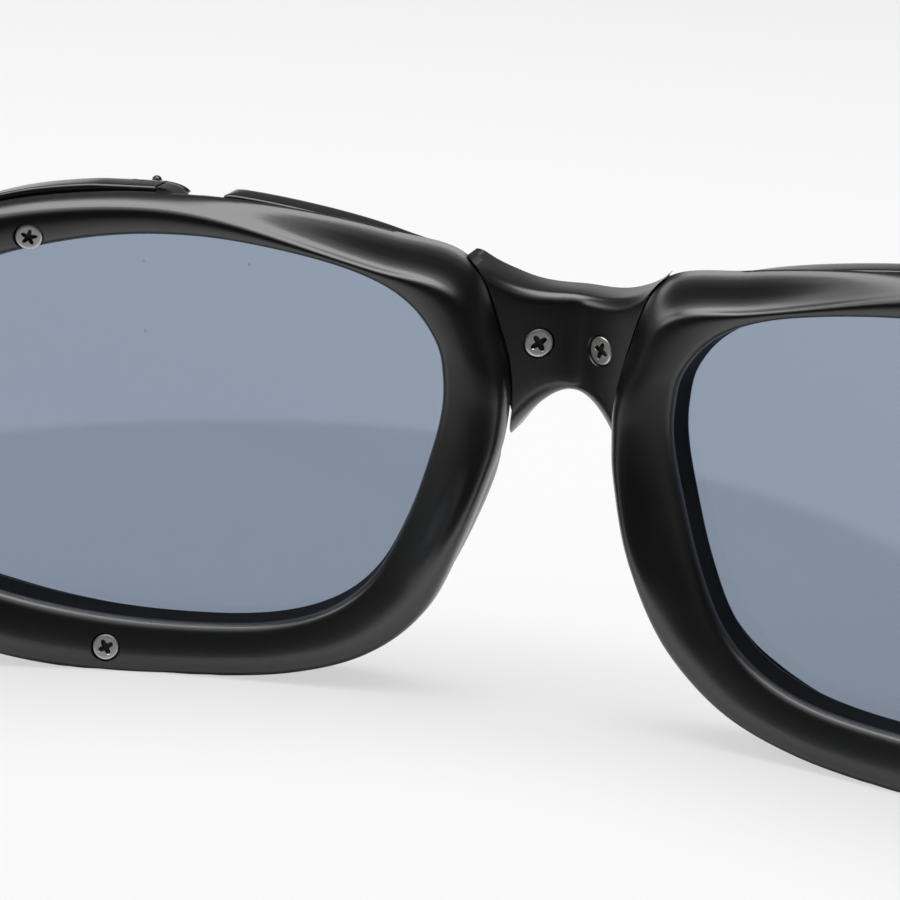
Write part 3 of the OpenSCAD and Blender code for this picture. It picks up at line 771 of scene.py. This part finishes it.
class EYEWEAR_OT_bridge(bpy.types.Operator):
    """Make the bridge block with its two turned faces, nose arch and soft top edge"""

    bl_idname = "eyewear.bridge"
    bl_label = "Bridge"

    def execute(self, context):
        c = curves()
        seam = [around(c.rear_keys, SEAM_START + SEAM_STEP * i) - Vector((0.06 * MM, 0))
                for i in range(SEAM_POINTS)]
        foot, head = seam[0], seam[-1]
        slope = math.tan(math.radians(BRIDGE_TURN))

        def seam_x(z):
            for a, b in zip(seam, seam[1:]):
                if z <= b.y:
                    return a.x + (b.x - a.x) * max(z - a.y, 0) / max(b.y - a.y, 1e-9)
            return head.x

        def section(u, pinch=1.0):
            """A closed slice of the block from its underside over the back face and the top."""
            a = abs(u)
            low = ARCH_TOP * MM - (ARCH_TOP * MM - foot.y) * a ** 1.9
            high = BRIDGE_TOP * MM + (head.y - BRIDGE_TOP * MM) * a ** 2.8
            top = (0.9 + 0.8 * a - 0.9 * ease((a - 0.88) / 0.12)) * MM
            under, deep = (0.9 + 1.5 * a) * MM, (1.2 + 0.6 * a) * MM
            gone = min((1 - a) * head.x / (0.4 * MM), 1)
            sink = 0.4 * MM * (1 - math.sqrt(1 - (1 - gone) ** 2))

            def side(z):
                t = min(max((z - low) / (high - low), 0), 1)
                plain = foot.x + (head.x - foot.x) * t
                real = seam_x(foot.y + t * (head.y - foot.y))
                return u * plain + math.copysign(a ** 3, u) * (real - plain)

            def back(z, dy=0.0):
                x = side(z)
                y = BRIDGE_BACK * MM + slope * math.hypot(x, 1.3 * MM) - 0.12 * MM
                return Vector((x, y - max(dy, sink), z))

            def front(z, dy=0.0):
                x = side(z)
                y = (BRIDGE_BACK - BRIDGE_DEPTH - 0.4) * MM + 0.45 * math.hypot(x, 1.6 * MM)
                return Vector((x, y + 170 * max(abs(x) - 5.2 * MM, 0) ** 2 + dy, z))

            ring = []
            for q in quarter(8)[:-1]:
                ring.append(back(low + under * (1 - math.cos(q)), deep * (1 - math.sin(q))))
            for t in range(9):
                ring.append(back(low + under + (high - low - under - top) * t / 8))
            for q in quarter(8)[1:]:
                ring.append(back(high - top + top * math.sin(q), top * (1 - math.cos(q))))
            edge = 0.35 * MM
            for q in quarter(3):
                ring.append(front(high - edge + edge * math.cos(q), edge * (1 - math.sin(q))))
            for q in quarter(3):
                ring.append(front(low + edge - edge * math.sin(q), edge * (1 - math.cos(q))))
            for p in ring:
                middle = (back(p.z).y + front(p.z).y) / 2
                p.y = middle + (p.y - middle) * pinch
            return ring

        half = [k / 22 * 0.94 for k in range(23)] + [0.955, 0.968, 0.979, 0.988, 0.995, 1.0]
        rings = [section(u) for u in [-u for u in reversed(half[1:])] + half]
        rings = [section(-1, 0.04)] + rings + [section(1, 0.04)]
        obj = as_object(loft(rings), "bridge_block")
        cutters = [turned(seat_cutter(c.s.head_radius), bridge_matrix(*BRIDGE_SCREW, side))
                   for side in (1, -1)]
        carve(obj, cutters)
        register_piece(obj, "chassis", satin_black(), ("bridge",))
        return {"FINISHED"}


class EYEWEAR_OT_screws(bpy.types.Operator):
    """Make the flush screws of the rims and the bridge"""

    bl_idname = "eyewear.screws"
    bl_label = "Flush Screws"

    def execute(self, context):
        c = curves()
        head = c.s.head_radius
        parts = []
        rim_head = RIM_HEAD_SHARE * head
        for (x, z), turn, lobes in zip(SCREW_PLACES, (0.45, 0.5), (5, 4)):
            parts += both_sides(lambda: screw_shape(rim_head, 2.9, turn, lobes=lobes),
                                c.face_matrix(x * MM, z * MM, 0.06 * MM))
        obj = as_object(joined(parts), "rim_screw_set", 30)
        register_piece(obj, "chassis", screw_steel(), ("rim_screws",), painted_recess_shade())
        parts = []
        for side, turn in ((1, 0.55), (-1, 1.25)):
            matrix = bridge_matrix(*BRIDGE_SCREW, side) @ moved(0, 0, -0.03)
            parts.append(turned(screw_shape(head, 3.4, turn), matrix))
        obj = as_object(joined(parts), "bridge_screw_set", 30)
        register_piece(obj, "chassis", screw_steel(), ("bridge_screws",), painted_recess_shade())
        return {"FINISHED"}


class EYEWEAR_OT_front_rims(bpy.types.Operator):
    """Make the two front rims that carry the lenses"""

    bl_idname = "eyewear.front_rims"
    bl_label = "Front Rims"

    def execute(self, context):
        c = curves()
        span = range(STATIONS)
        near, far = c.front_d / MM, c.front_e / MM
        step = near + c.s.lens_thickness / MM + 0.15
        inner = 0.6 * MM

        def inside(a, d, more=0.0):
            return [c.on(c.pushed(i, (a + more * c.low(i)) * MM), d * MM) for i in span]

        def outside(w, d):
            return [c.on(c.pushed(i, inner).lerp(c.front[i], w), d * MM) for i in span]

        rings = [inside(0.7, far, 1), inside(0.62, far - 0.05, 1), inside(0.6, far - 0.15, 0.95),
                 inside(0.6, step + 0.1, 0.3), inside(0.62, step, 0.3), inside(1.2, step),
                 inside(1.3, step - 0.08), inside(1.3, near + 0.1), inside(1.36, near)]
        for w, d in ((0.5, near), (0.93, near), (0.98, near + 0.08), (1, near + 0.25),
                     (1, near + 1.1), (1, far - 1.1), (0.985, far - 0.8), (0.95, far - 0.5),
                     (0.9, far - 0.3), (0.82, far - 0.14), (0.72, far - 0.05), (0.6, far),
                     (0.3, far)):
            rings.append(outside(w, d))
        obj = as_object(loft(rings, closed=True), "front_rim_left_side")
        x, z = SCREW_PLACES[1]
        place = c.face_matrix(x * MM, (z + MAGNET_RISE) * MM, c.front_d)
        carve(obj, well_cutters(c) + [turned(round_bar(1.03, -1.2, 0.5), place)])
        # The walls next to the lens take the painted shade material.
        mark_wall(obj, c, near, far - 0.2)
        pair(obj, "front_rim", "flip_unit", front_black(), "front_rim", painted_wall_shade())
        return {"FINISHED"}


def rod(x0, x1, r, y, z, segments=40, soft=0.08):
    """A round bar along X with broken edges, sizes in mm."""
    return turned(round_bar(r, 0, x1 - x0, soft, segments),
                  moved(x0, y, z) @ Matrix.Rotation(math.pi / 2, 4, "Y"))


def block(low, high, bevel=0.0, segments=3):
    """A box between two corners in mm, its edges bevelled."""
    bm = bmesh.new()
    bmesh.ops.create_cube(bm, size=1)
    size = Vector(high) - Vector(low)
    bmesh.ops.scale(bm, vec=size * MM, verts=bm.verts)
    bmesh.ops.translate(bm, vec=(Vector(low) + size / 2) * MM, verts=bm.verts)
    if bevel:
        bmesh.ops.bevel(bm, geom=list(bm.edges), offset=bevel * MM, affect="EDGES",
                        segments=segments, profile=0.5, material=-1)
    return bm


def well_cutters(c):
    """Room in the front rim for the fixed lug and the knuckle of the outer plate."""
    hinge = c.s.hinge_place / MM
    _, y, z = HINGE_AXIS
    return [rod(hinge - 3.1, hinge, 1.2, y, z, soft=0),
            rod(hinge - 0.1, hinge + 3.3, 0.9, y, z, soft=0),
            block((hinge - 3.1, y, z - 1.2), (hinge, y + 6, z + 3)),
            block((hinge - 3.1, y - 4, z - 0.4), (hinge, y + 4, z + 4))]


class EYEWEAR_OT_lenses(bpy.types.Operator):
    """Make the two tinted lenses"""

    bl_idname = "eyewear.lenses"
    bl_label = "Lenses"

    def execute(self, context):
        c = curves()
        span = range(STATIONS)
        near = c.front_d + 0.1 * MM
        far = near + c.s.lens_thickness
        middle = Vector((c.s.nose_gap + c.s.opening_width / 2, 0))
        edge = [c.pushed(i, 1.25 * MM) for i in span]

        def ring(share, d, inset=0.0):
            ps = [middle + (p - middle) * (share - inset / (p - middle).length) for p in edge]
            return [c.on(p, d) for p in ps]

        shares = (0.0, 0.06, 0.12, 0.2, 0.3, 0.4, 0.5, 0.6, 0.7, 0.8, 0.88, 0.95)
        rings = [[c.on(middle, near)] * STATIONS] + [ring(s, near) for s in shares[1:]]
        rings += [ring(1, near, 0.12 * MM), ring(1, near + 0.04 * MM, 0.04 * MM),
                  ring(1, near + 0.12 * MM), ring(1, far - 0.12 * MM),
                  ring(1, far - 0.04 * MM, 0.04 * MM), ring(1, far, 0.12 * MM)]
        rings += [ring(s, far) for s in reversed(shares[1:])] + [[c.on(middle, far)] * STATIONS]
        obj = as_object(loft(rings, caps=False), "tinted_lens_left_side", 50)
        pair(obj, "tinted_lens", "flip_unit", lens_tint(), "lens")
        return {"FINISHED"}


class EYEWEAR_OT_brow_plates(bpy.types.Operator):
    """Make the outer and inner brow plates"""

    bl_idname = "eyewear.brow_plates"
    bl_label = "Brow Plates"

    def execute(self, context):
        c = curves()
        near, far = c.front_d + 0.05 * MM, c.front_e - 0.15 * MM
        hinge = c.s.hinge_place
        top = (HINGE_AXIS[2] + 0.84) * MM

        def ring(s, share, lift=0.0):
            """Section of a plate that stands on the front rim and leans away from the face."""
            base = around(c.front_keys, s) + Vector((0, 0.03 * MM))
            tall = min(c.s.plate_height * share, top - base.y)
            low = c.s.plate_height * lift
            soft = min(0.12 * MM, tall * 0.2)
            points = [(far, soft), (far - soft, 0), (near + soft, 0), (near, soft)]
            points += [(near + 0.45 * MM * (1 - math.cos(q)), tall * (0.66 + 0.32 * math.sin(q)))
                       for q in quarter(7)]
            points += [(far - 0.5 * MM, tall * 0.99), (far - 0.2 * MM, tall * 0.985),
                       (far - 0.06 * MM, tall * 0.94), (far, tall * 0.84)]
            return [c.on(base + Vector((0, low + z * (1 - lift * 0.6))), d) for d, z in points]

        outer = loft([ring(OUTER_START + OUTER_SPAN * u, 1 - 0.45 * u * u,
                           0.3 * ease((u - 0.97) / 0.03)) for u in (k / 48 for k in range(49))])
        cut = hinge + 0.1 * MM
        bmesh.ops.bisect_plane(outer, geom=outer.verts[:] + outer.edges[:] + outer.faces[:],
                               plane_co=(cut, 0, 0), plane_no=(-1, 0, 0), clear_outer=True)
        bmesh.ops.holes_fill(outer, edges=[e for e in outer.edges if e.is_boundary])
        _, y, z = HINGE_AXIS
        knuckle = rod(cut / MM, cut / MM + 3, HINGE_RADIUS, y, z)
        s = 5 + (hinge - c.rear_keys[5].x) / (8.6 * MM)
        root = around(c.front_keys, s + 0.08) + Vector((0, 0.03 * MM))
        tip = around(c.front_keys, s - 0.24) + Vector((0, 0.03 * MM))
        rings = []
        for q in (math.radians(a) for a in (4, 12, 22, 33, 44, 55, 66, 78, 90)):
            x = root.x + (tip.x - root.x) * math.cos(q)
            high = tip.y + (min(root.y + c.s.plate_height, top) - tip.y) * math.sin(q)
            middle, tall = (tip.y + high) / 2, (high - tip.y) / 2
            rings.append([c.on((x, middle + b), far - 0.3 * MM + a)
                          for a, b in rounded(0.3 * MM, tall, 0.2 * MM)])
        dome = bmesh.new()
        bmesh.ops.create_uvsphere(dome, u_segments=24, v_segments=14, radius=0.47 * MM)
        turned(dome, moved(hinge / MM + 1.75, y - 2.4, z + 0.37))
        obj = as_object(joined([outer, knuckle, loft(rings), dome]), "outer_plate_left_side")
        pair(obj, "outer_plate", "flip_unit", painted_plate(), "outer_plate")
        rings = []
        for k in range(57):
            u = k / 56
            rings.append(ring(INNER_START + INNER_SPAN * u, 0.68 - 0.42 * (1 - u) ** 1.6,
                              0.3 * ease((0.03 - u) / 0.03)))
        for s, share in ((4.76, 0.67), (4.8, 0.64), (4.83, 0.59), (4.85, 0.51), (4.863, 0.38)):
            rings.append(ring(s, share, 0.45 * (1 - share / 0.68)))
        obj = as_object(loft(rings), "inner_plate_left_side")
        pair(obj, "inner_plate", "flip_unit", painted_plate(), "inner_plate")
        return {"FINISHED"}


class EYEWEAR_OT_flip_hinges(bpy.types.Operator):
    """Make the hinge leaves with their fixed lugs and pins and dress the other metal parts"""

    bl_idname = "eyewear.flip_hinges"
    bl_label = "Flip Hinges"

    def execute(self, context):
        c = curves()
        hinge = c.s.hinge_place / MM
        _, y, z = HINGE_AXIS
        r = HINGE_RADIUS
        rings = []
        for q in (math.radians(a) for a in (5, 12, 20, 29, 38, 48, 58, 68, 78, 87, 87.3)):
            x = hinge - 0.1 - 2.4 * math.cos(q)
            trim = 0.07 if q > math.radians(87.2) else 0.0
            tall = r * math.sin(q) - trim
            middle = z - r + r * math.sin(q)
            back = c.y(x * MM, middle * MM, c.s.rim_depth - 0.05 * MM)
            ring = [Vector((x * MM, back, (middle - tall) * MM))]
            ring += [Vector((x * MM, (y - (r - trim) * math.cos(t)) * MM,
                             (middle + tall * math.sin(t)) * MM))
                     for t in (math.radians(-90 + 15 * k) for k in range(13))]
            ring.append(Vector((x * MM, back, (middle + tall) * MM)))
            rings.append(ring)
        obj = as_object(joined([loft(rings), leaf_shape(c)]), "hinge_leaf_left_side")
        pair(obj, "hinge_leaf", "chassis", dark_steel(), "hinge_leaf")
        pins = joined([rod(-hinge - 2.4, -hinge + 0.9, PIN_RADIUS, y, z),
                       rod(hinge - 0.9, hinge + 2.4, PIN_RADIUS, y, z)])
        register_piece(as_object(pins, "flip_hinge_pins"), "chassis", screw_steel(),
                       ("flip_pins",))
        looks = {"rim_catches": dark_steel,
                 "front_magnets": magnet_nickel, "bridge_core": painted_plate}
        for node, look in looks.items():
            data = frame["nodes"][node].data
            data.materials.clear()
            data.materials.append(look())
        return {"FINISHED"}


class EYEWEAR_OT_centre_link(bpy.types.Operator):
    """Make the link across the nose that joins the two front rims"""

    bl_idname = "eyewear.centre_link"
    bl_label = "Centre Link"

    def execute(self, context):
        c = curves()
        rings = []
        front = BRIDGE_BACK - BRIDGE_DEPTH
        for k in range(45):
            x = -LINK_HALF * math.cos(math.pi * k / 44)
            a = abs(x)
            tall = 2.5 * math.sqrt(max(1 - (a / (LINK_HALF + 0.05)) ** 8, 0.05))
            near = front - 0.4 + 0.45 * a
            far = front - 2.4 + 0.426 * a
            ring = []
            for dy, dz in rounded((near - far) / 2, tall, 0.7, 5):
                y = (near + far) / 2 + dy
                z = (LINK_Z + dz) * MM
                y = min(y * MM, c.y(a * MM, z, c.front_e + 0.03 * MM))
                ring.append(Vector((x * MM, y, z)))
            rings.append(ring)
        obj = as_object(loft(rings), "centre_link_bar")
        register_piece(obj, "flip_unit", front_black(), ("centre_link",))
        matrix = (moved(9.45, -3.9, 10.6) @ Matrix.Rotation(math.radians(20), 4, "Z")
                  @ Matrix.Rotation(math.pi / 2, 4, "X") @ moved(0, 0, 2.08))
        screws = both_sides(lambda: screw_shape(0.88 * MM, 3.9, 0.3, shank=0.44, rim=0.45),
                            matrix)
        obj = as_object(joined(screws), "link_screw_set", 30)
        register_piece(obj, "flip_unit", screw_steel(), ("link_screws",), painted_recess_shade())
        return {"FINISHED"}


def side_keys():
    """Places along a temple in side view with the half height there, in mm."""
    _, y, z = FOLD
    tip = TABLE_Z / MM

    def along(u):
        return y - 0.7 + (TEMPLE_LENGTH + 0.7) * u

    return [Vector(k) for k in (
        (along(0), z, TEMPLE_HEIGHT / 2), (along(0.18), z + 0.4, TEMPLE_HEIGHT * 0.41),
        (along(0.42), z + 0.2, 3.8), (along(0.62), z - 1.8, 3.4),
        (along(0.76), z * 0.6 + tip * 0.24, 3.4), (along(0.87), tip + 10.4, 3.6),
        (along(0.96), tip + 3.25, 3.2))]


def temple_ring(s, grow, thick, outset, soft, past=0.0, shrink=1.0):
    """A section square to the temple. Past the end it moves on and shrinks."""
    keys = side_keys()
    p = through(keys, s)
    v = through(keys, min(s + 0.02, 6)) - through(keys, max(s - 0.02, 0))
    way = Vector((v.x, v.y)).normalized()
    ring = []
    for a, b in rounded(thick / 2 * (0.4 + 0.6 * shrink), p.z * grow * shrink, soft * shrink, 6):
        y = p.x + past * way.x - b * way.y
        z = p.y + past * way.y + b * way.x
        bow = math.sqrt(520 ** 2 - (y - FOLD[1] - 24) ** 2) - 520
        x = FOLD[0] + TEMPLE_THICK + 0.4 + bow + outset - thick / 2 + a
        ring.append(Vector((x * MM, y * MM, max(z * MM, TABLE_Z))))
    return ring


def standing_rod(r, low, high, soft=0.0):
    """A round bar along Z about the fold hinge, heights from the middle of the hinge in mm."""
    return turned(round_bar(r, low, high, soft, 56), moved(*FOLD))


class EYEWEAR_OT_endpieces(bpy.types.Operator):
    """Make the endpieces with the forks of the fold hinges and their pins"""

    bl_idname = "eyewear.endpieces"
    bl_label = "Endpieces"

    def execute(self, context):
        c = curves()
        x0, y0, z0 = FOLD
        rings = []
        steps = 24
        for k in range(steps + 1):
            t = k / steps
            y = 17.5 + (y0 - 1.1 - 17.5) * t
            u = (y - 12) / (y0 - 13.1)
            out = x0 + 2.6 - 4.6 * (1 - u) ** 2
            inside = x0 - 4.2 + 2.8 * (1 - min(max((y0 - 1.1 - y) / 8, 0), 1) ** 1.43)
            tall = TEMPLE_HEIGHT / 2 - 3.4 * (1 - min((y - 12) / 16, 1)) ** 2
            soft = 0.95 - 0.6 * ease((t - 0.9) / 0.1)
            trim = 0.3 * (1 - math.sqrt(1 - ease((t - 0.97) / 0.03) ** 2))
            ring = []
            for a, b in rounded((out - inside) / 2 - trim, tall - trim, soft, 5):
                x, z = (out + inside) / 2 + a, z0 + b
                rest = c.y(x * MM, z * MM, 0.35 * MM)
                ring.append(Vector((x * MM, max(y * MM, rest) if t < 1 else y * MM, z * MM)))
            rings.append(ring)
        body = as_object(loft(rings), "endpiece_left_side")
        carve(body, [standing_rod(BARREL_ROOM, -1.8, 1.8)])
        parts = [taken_back(body)]
        for low in (-4.5, 1.8):
            high = low + 2.7
            parts.append(standing_rod(BARREL_RADIUS, low, high, 0.25))
            parts.append(block((x0 - 1.4, y0 - 2, z0 + low), (x0 + 1.8, y0, z0 + high), 0.2))
        obj = as_object(joined(parts), "endpiece_left_side")
        pair(obj, "endpiece", "chassis", satin_black(), "endpiece")
        pins = both_sides(lambda: screw_shape(1.36 * MM, 10.2, 0.4, shank=0.74, rim=0.55),
                          moved(x0, y0, z0 + 5.1))
        obj = as_object(joined(pins), "fold_pin_set", 30)
        register_piece(obj, "chassis", screw_steel(), ("fold_pins",), painted_recess_shade())
        return {"FINISHED"}


class EYEWEAR_OT_temples(bpy.types.Operator):
    """Make the temples and their soft sleeves"""

    bl_idname = "eyewear.temples"
    bl_label = "Temples"

    def execute(self, context):
        rings = [temple_ring(0, 0.97, TEMPLE_THICK - 0.3, -0.15, 0.7)]
        rings += [temple_ring(0.005 + SLEEVE_START * (k / 60) ** 1.1, 1, TEMPLE_THICK, 0, 0.95)
                  for k in range(61)]
        arm = as_object(loft(rings), "temple_left_side")
        carve(arm, [standing_rod(BARREL_ROOM, -4.8, -1.5), standing_rod(BARREL_ROOM, 1.5, 4.8),
                    standing_rod(1.7, 4.4, 12)])
        barrel = standing_rod(BARREL_RADIUS, -1.5, 1.5, 0.2)
        obj = as_object(joined([taken_back(arm), barrel]), "temple_left_side")
        pair(obj, "temple", "arm_left", satin_black(), "temple")
        start, grow = SLEEVE_START, 1.05
        rings = [temple_ring(start, 1.0, 3.0, 0.05, 0.9), temple_ring(start, 1.03, 3.5, 0.3, 1.1),
                 temple_ring(start + 0.01, grow, 3.8, 0.45, 1.3)]
        rings += [temple_ring(start + 0.03 + 2.37 * k / 50, grow, SLEEVE_THICK, 0.5, 1.4)
                  for k in range(51)]
        reach = side_keys()[6].z * grow
        rings += [temple_ring(6, grow, SLEEVE_THICK, 0.5, 1.4, reach * math.sin(q), math.cos(q))
                  for q in (math.radians(a) for a in (10, 20, 30, 40, 50, 60, 69, 77, 83, 87))]
        obj = as_object(loft(rings), "temple_tip_left_side")
        pair(obj, "temple_tip", "arm_left", sleeve_rubber(), "tip")
        return {"FINISHED"}


def table_material(look):
    """A pale table. Through a lens it is darker near the frame, a painted shadow of the tinted lens,
    and mirrored rays find it painted dark on the camera side.
    """
    mat = bpy.data.materials.new("Pale table")
    mat.use_nodes = True
    mat.node_tree.nodes.clear()
    g = Graph(mat.node_tree)
    path = g.add("LightPath").outputs
    place = g.add("TexCoord").outputs["Object"]
    # Painted shadow of the lens: rays through a lens see the table glow only at LENS_SHADE within
    # SHADE_RADIUS of this middle, rising to full over SHADE_FADE.
    away = g.add("VectorMath", {"operation": "DISTANCE"})
    g.put(away.inputs[0], place)
    g.put(away.inputs[1], (SHADE_X * MM + SHIFT.x, SHIFT.y, 0))
    shade = g.ramp(away.outputs["Value"], SHADE_RADIUS * MM, (SHADE_RADIUS + SHADE_FADE) * MM,
                   LENS_SHADE, 1.0)
    glow = g.add("Emission", Color=(1, 1, 1, 1),
                 Strength=g.mix("FLOAT", path["Is Transmission Ray"], TABLE_GLOW, shade))
    # Painted shade: mirrored rays see the table fade to near black from 20 mm to 75 mm behind the
    # frame towards the camera, so the frame reflects a dark table there.
    side = g.add("SeparateXYZ", Vector=place).outputs["Y"]
    painted_mirror_shade = g.ramp(side, SHIFT.y + 20 * MM, SHIFT.y + 75 * MM, 1.0, 0.03)
    mirror_shade_share = g.mix("FLOAT", path["Is Glossy Ray"], 1.0, painted_mirror_shade)
    paint = g.mix("RGBA", mirror_shade_share, (0, 0, 0, 1), (*look.table_colour, 1))
    diffuse = g.add("BsdfDiffuse", Color=paint)
    seen = g.maths("MAXIMUM", path["Is Camera Ray"], path["Is Transmission Ray"])
    both = g.add("MixShader")
    for socket, value in zip(both.inputs, (g.maths("MULTIPLY", seen, GLOW_SHARE),
                                           diffuse.outputs[0], glow.outputs[0])):
        g.put(socket, value)
    g.put(g.add("OutputMaterial").inputs["Surface"], both.outputs[0])
    return mat


def studio_world():
    """A plain pale world. Mirrored rays find a low glow ahead and a light strip above."""
    world = bpy.data.worlds.new("Pale studio")
    world.use_nodes = True
    world.node_tree.nodes.clear()
    g = Graph(world.node_tree)
    way = g.add("SeparateXYZ", Vector=g.add("TexCoord").outputs["Generated"]).outputs
    ahead = g.maths("MULTIPLY", g.ramp(way["Y"], -0.1, 0.4, 1.0, 0.02),
                    g.ramp(way["Z"], 0.1, 0.3, 1.0, 0.1))
    strip = g.maths("MULTIPLY", g.ramp(way["Z"], 0.56, 0.76, 0.0, STRIP_LEVEL),
                    g.ramp(way["Y"], 0.05, 0.3))
    path = g.add("LightPath").outputs
    level = g.mix("FLOAT", path["Is Glossy Ray"], FILL_LEVEL,
                  g.maths("MAXIMUM", ahead, strip))
    seen = g.maths("MAXIMUM", path["Is Camera Ray"], path["Is Transmission Ray"])
    back = g.add("Background", Strength=g.mix("FLOAT", seen, level, BACKDROP_LEVEL))
    g.put(g.add("OutputWorld").inputs["Surface"], back.outputs[0])
    return world


def lamp(name, place, target, size, power):
    """A soft rectangular lamp aimed at a place, in metres."""
    data = bpy.data.lights.new(name, "AREA")
    data.shape = "RECTANGLE"
    data.size, data.size_y = size
    data.energy = power
    data.specular_factor = 0.15
    obj = bpy.data.objects.new(name, data)
    bpy.context.scene.collection.objects.link(obj)
    obj.location = place
    aim = Vector(target) - Vector(place)
    obj.rotation_euler = aim.to_track_quat("-Z", "Y").to_euler()


def photo_camera():
    """The camera behind the wearer's right side, with a long lens."""
    data = bpy.data.cameras.new("photo_camera")
    data.sensor_width = 36
    data.lens = 110
    data.clip_start = 0.005
    data.clip_end = 20
    camera = bpy.data.objects.new("photo_camera", data)
    bpy.context.scene.collection.objects.link(camera)
    axes = [Vector(axis) for axis in (CAMERA_RIGHT, CAMERA_UP, CAMERA_BACK)]
    place = Vector(CAMERA_PLACE) * MM + SHIFT
    camera.matrix_world = Matrix.Translation(place) @ Matrix(axes).transposed().to_4x4()
    return camera


class EYEWEAR_OT_stage(bpy.types.Operator):
    """Make the table, the backdrop, the soft lamps and the camera"""

    bl_idname = "eyewear.stage"
    bl_label = "Stage"

    def execute(self, context):
        scene = context.scene
        look = scene.sunglass_looks
        scene.view_settings.view_transform = "Standard"
        bm = bmesh.new()
        bmesh.ops.create_grid(bm, x_segments=1, y_segments=1, size=4.0)
        mesh = bpy.data.meshes.new("table_top")
        bm.to_mesh(mesh)
        bm.free()
        mesh.materials.append(table_material(look))
        table = bpy.data.objects.new("table_top", mesh)
        scene.collection.objects.link(table)
        scene.world = studio_world()
        lamp("top_softbox", (0.0, -0.1, 0.75), (0, -0.05, 0), (0.9, 0.6), look.lamp_power * 6)
        lamp("side_softbox", (0.75, 0.3, 0.5), (0, -0.05, 0.02), (0.4, 0.5), look.lamp_power * 1.5)
        scene.camera = photo_camera()
        return {"FINISHED"}


class EYEWEAR_PT_panel(bpy.types.Panel):
    """Lists the sizes, the looks and the makers of the pieces"""

    bl_label = "Flip Up Sunglasses"
    bl_idname = "EYEWEAR_PT_panel"
    bl_space_type = "VIEW_3D"
    bl_region_type = "UI"
    bl_category = "Eyewear"

    def draw(self, context):
        scene = context.scene
        for title, group in (("Sizes", scene.sunglass_sizes), ("Looks", scene.sunglass_looks)):
            box = self.layout.box()
            box.label(text=title)
            for name in group.__annotations__:
                box.prop(group, name)
        box = self.layout.box()
        box.label(text="Pieces")
        for maker in MAKERS:
            box.operator(maker.bl_idname, text=maker.bl_label)


MAKERS = (
    EYEWEAR_OT_stage,
    EYEWEAR_OT_rear_rims,
    EYEWEAR_OT_bridge,
    EYEWEAR_OT_screws,
    EYEWEAR_OT_front_rims,
    EYEWEAR_OT_lenses,
    EYEWEAR_OT_brow_plates,
    EYEWEAR_OT_flip_hinges,
    EYEWEAR_OT_centre_link,
    EYEWEAR_OT_endpieces,
    EYEWEAR_OT_temples,
)
CLASSES = (SunglassSizes, SunglassLooks, *MAKERS, EYEWEAR_PT_panel)


def register():
    for cls in CLASSES:
        bpy.utils.register_class(cls)
    bpy.types.Scene.sunglass_sizes = PointerProperty(type=SunglassSizes)
    bpy.types.Scene.sunglass_looks = PointerProperty(type=SunglassLooks)


def unregister():
    del bpy.types.Scene.sunglass_looks
    del bpy.types.Scene.sunglass_sizes
    for cls in reversed(CLASSES):
        bpy.utils.unregister_class(cls)


def main():
    register()
    for maker in MAKERS:
        group, name = maker.bl_idname.split(".")
        if getattr(getattr(bpy.ops, group), name)() != {"FINISHED"}:
            raise RuntimeError(maker.bl_label + " did not finish")


if __name__ == "__main__":
    main()
